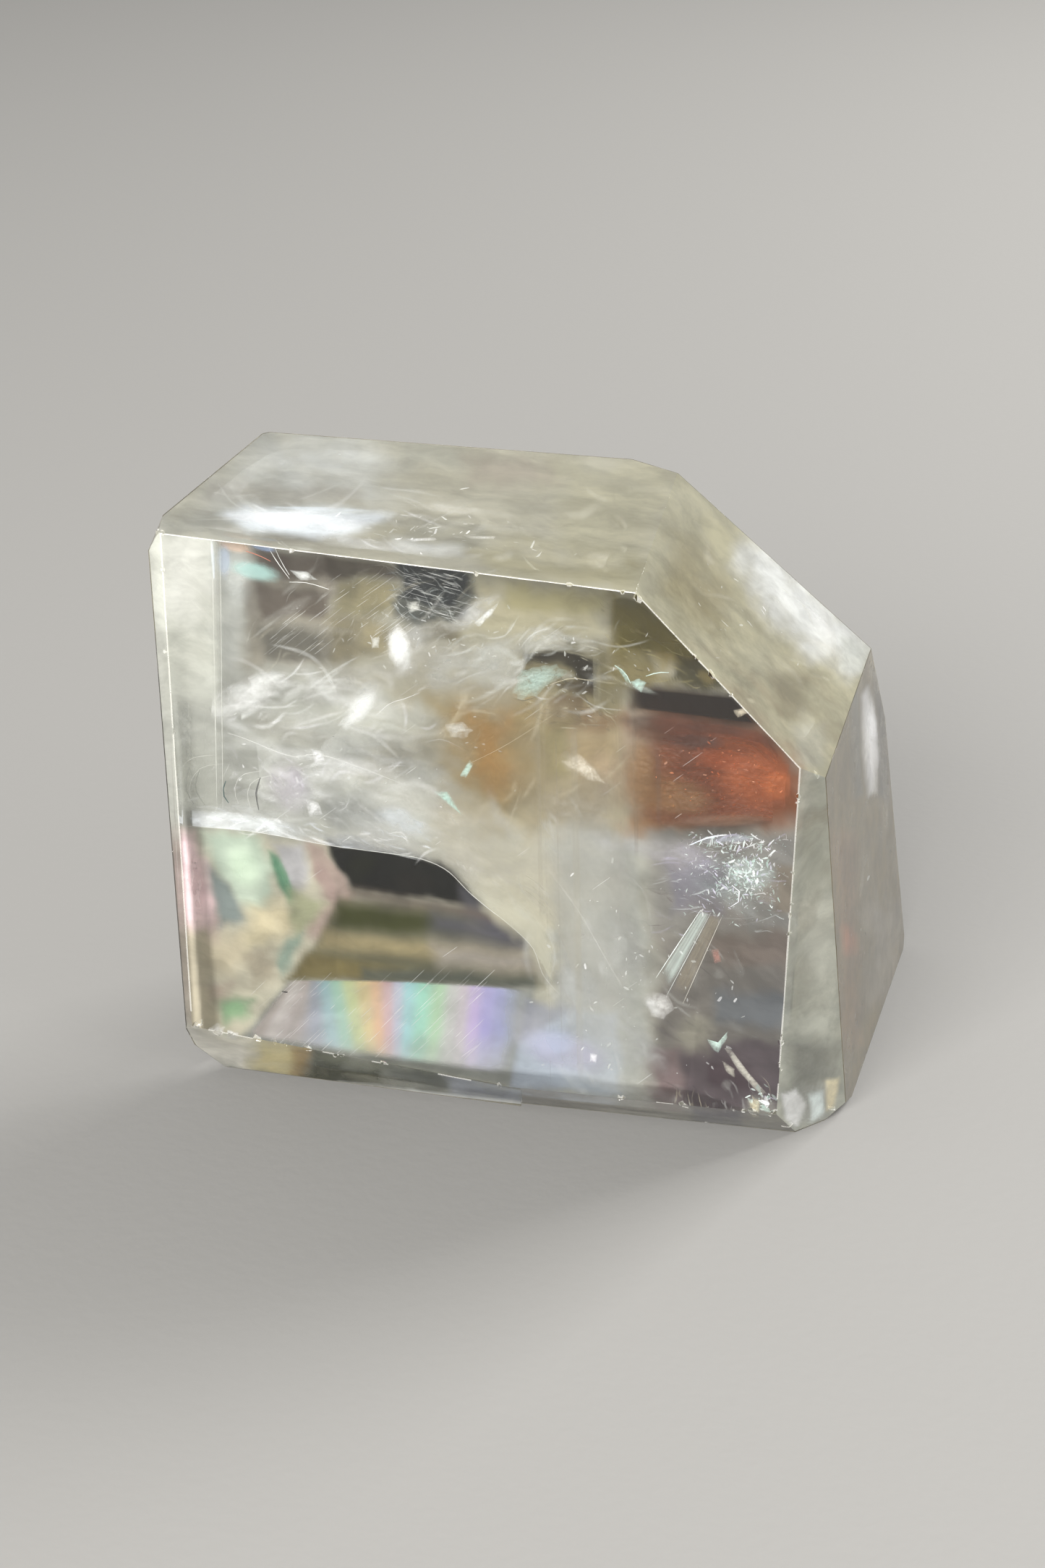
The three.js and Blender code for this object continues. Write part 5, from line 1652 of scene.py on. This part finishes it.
# ---------------------------------------------------------------- hairlines
# Threads and scratches are drawn about twice as wide as real ones, so that they show.
VEIL_LIP = (240, 1140, 270, 1143, 350, 1150, 450, 1168, 500, 1175, 560, 1183, 590, 1190, 620, 1205, 650, 1235, 680,
            1260, 700, 1275, 736, 1310, 751, 1348, 774, 1375)
THREADS = (
    # points, depth, width, colour, strength and, where it isn't the front, the facet
    ((293, 740, 296, 900, 300, 1118), 2.0, 0.08, "#f8f8f2", 0.8),
    ((304, 742, 306, 900, 308, 1118), 2.0, 0.07, "#f8f8f2", 0.6),
    ((370, 755, 382, 775, 400, 800), 2.5, 0.08, "#f4f4f0", 0.8),
    ((380, 757, 388, 775, 400, 795), 2.5, 0.07, "#f4f4f0", 0.8),
    ((400, 805, 425, 806, 455, 815), 3.0, 0.08, "#f4f4f0", 0.8),
    ((340, 762, 358, 768, 374, 776), 2.0, 0.1, "#d88a70", 0.8),
    ((240, 1000, 320, 1015, 400, 1045, 450, 1045, 560, 1085), 5.0, 0.1, "#fafaf6", 0.22),
    ((520, 990, 540, 972, 555, 968, 580, 958), 4.0, 0.09, "#ffffff", 0.3),
    ((760, 947, 790, 938, 820, 942), 3.0, 0.08, "#d8cfb4", 0.4),
    ((850, 920, 864, 930, 872, 945), 3.0, 0.12, "#d8e8e0", 0.8),
    ((893, 935, 910, 930, 925, 930), 3.0, 0.1, "#d8e8e0", 0.8),
    (VEIL_LIP, 2.8, 0.09, "#f0f0ea", 0.4),
    ((757, 1200, 800, 1260, 840, 1330, 870, 1380), 3.0, 0.08, "#ecece6", 0.22),
    ((969, 1258, 938, 1305, 907, 1352), 2.8, 0.1, "#fafffc", 0.95),
    ((983, 1262, 952, 1320, 922, 1376), 2.6, 0.07, "#fafffc", 0.6),
    ((998, 1268, 971, 1328, 944, 1388), 3.0, 0.07, "#faf6ea", 0.5),
    # Painted glint: these two are the bright corner line at the front's top left.
    ((292, 742, 293, 752, 296, 800), 1.0, 0.3, "#eef6ff", 0.95),
    ((290, 746, 312, 748, 360, 755), 1.0, 0.16, "#f8fcff", 0.9),
    ((250, 1112, 244, 1080, 262, 1050, 300, 1044), 3.0, 0.08, "#f4f4ee", 0.3),
    ((266, 1112, 262, 1086, 278, 1062, 310, 1056), 3.0, 0.08, "#f4f4ee", 0.3),
    ((330, 1112, 324, 1092, 334, 1072, 362, 1066), 3.0, 0.08, "#f4f4ee", 0.28),
    ((346, 1116, 342, 1098, 350, 1080, 376, 1072), 3.0, 0.08, "#f4f4ee", 0.28),
    ((640, 1060, 700, 1030, 770, 985), 3.5, 0.06, "#e8dcc0", 0.22),
    ((1012, 1224, 1022, 1230, 1020, 1250, 1010, 1254), 2.0, 0.1, "#f8f8fc", 0.8),
    ((955, 1168, 980, 1158, 1000, 1155), 2.0, 0.16, "#eef4ff", 0.95),
    ((390, 1371, 398, 1372), 0.6, 0.16, "#201a14", 1.0),
    ((262, 1060, 256, 1088, 268, 1112), 2.6, 0.16, "#5f6460", 0.7),
    ((276, 1064, 270, 1090, 284, 1114), 2.6, 0.14, "#6b706a", 0.6),
    ((312, 1080, 308, 1096, 316, 1110), 2.6, 0.16, "#4f6a68", 0.7),
    ((360, 1075, 354, 1096, 358, 1120), 2.6, 0.18, "#6a6a68", 0.7),
    ((600, 1513, 660, 1524, 712, 1530), 0.6, 0.14, "#fbfbf8", 0.9, "foot_left"),
)
SCRATCHES = (
    # x range, y range, count, range of reach across, rise for each frame point across
    ((345, 660), (1362, 1470), 110, (8, 44), 0.95), ((360, 450), (850, 910), 26, (15, 45), 0.8),
    ((552, 630), (788, 852), 54, (10, 40), -0.28), ((460, 560), (800, 890), 34, (10, 40), 0.7),
    ((240, 1000), (780, 1500), 40, (8, 40), 0.7),
)
SCRATCH_SHARE = 0.72  # of the reach above
SCRATCH_DEPTH = 0.4
SCRATCH_WIDTHS = (0.02, 0.05)
SCRATCH_TINT = "#ecece8"
SCRATCH_STRENGTHS = (0.2, 0.5)


class CALCITE_OT_hairlines(bpy.types.Operator):
    """Builds the hair-fine bright rims, threads and scratches, and a painted glint"""

    bl_idname = "calcite.hairlines"
    bl_label = "Hairlines"

    def execute(self, context):
        piece = Piece("hairlines", 12)
        for row in THREADS:
            piece.thread(*row)
        chance = piece.chance
        for across, down, count, reaches, rise in SCRATCHES:
            for _ in range(count):
                x, y = chance.uniform(*across), chance.uniform(*down)
                reach = chance.uniform(*reaches) * SCRATCH_SHARE
                piece.thread((x, y, x + reach, y - reach * rise), SCRATCH_DEPTH, chance.uniform(*SCRATCH_WIDTHS),
                             SCRATCH_TINT, chance.uniform(*SCRATCH_STRENGTHS))
        piece.done(sheet_finish("hairline", plain_alpha, 0.4, 0.3))
        return {"FINISHED"}


# ---------------------------------------------------------------- panel and registration
STEPS = (CALCITE_OT_stage, CALCITE_OT_block, CALCITE_OT_skin, CALCITE_OT_tones, CALCITE_OT_haze, CALCITE_OT_veils,
         CALCITE_OT_stain, CALCITE_OT_films, CALCITE_OT_lamellae, CALCITE_OT_flakes, CALCITE_OT_needle,
         CALCITE_OT_hairlines)
SETTINGS = {"calcite_block": CalciteBlockSettings, "calcite_veils": CalciteVeilSettings,
            "calcite_stage": CalciteStageSettings}


class CALCITE_PT_panel(bpy.types.Panel):
    """Lists the settings and the steps that build the block"""

    bl_label = "Calcite"
    bl_idname = "CALCITE_PT_panel"
    bl_space_type = "VIEW_3D"
    bl_region_type = "UI"
    bl_category = "Calcite"

    def draw(self, context):
        for name in SETTINGS:
            group = getattr(context.scene, name)
            box = self.layout.box()
            for key in group.__annotations__:
                box.prop(group, key)
        for step in STEPS:
            self.layout.operator(step.bl_idname)


CLASSES = (*SETTINGS.values(), *STEPS, CALCITE_PT_panel)


def register():
    for cls in CLASSES:
        bpy.utils.register_class(cls)
    for name, group in SETTINGS.items():
        setattr(bpy.types.Scene, name, PointerProperty(type=group))


def unregister():
    for name in SETTINGS:
        delattr(bpy.types.Scene, name)
    for cls in reversed(CLASSES):
        bpy.utils.unregister_class(cls)


def main():
    register()
    bpy.ops.calcite.stage()
    bpy.ops.calcite.block()
    bpy.ops.calcite.skin()
    bpy.ops.calcite.tones()
    bpy.ops.calcite.haze()
    bpy.ops.calcite.veils()
    bpy.ops.calcite.stain()
    bpy.ops.calcite.films()
    bpy.ops.calcite.lamellae()
    bpy.ops.calcite.flakes()
    bpy.ops.calcite.needle()
    bpy.ops.calcite.hairlines()


if __name__ == "__main__":
    main()
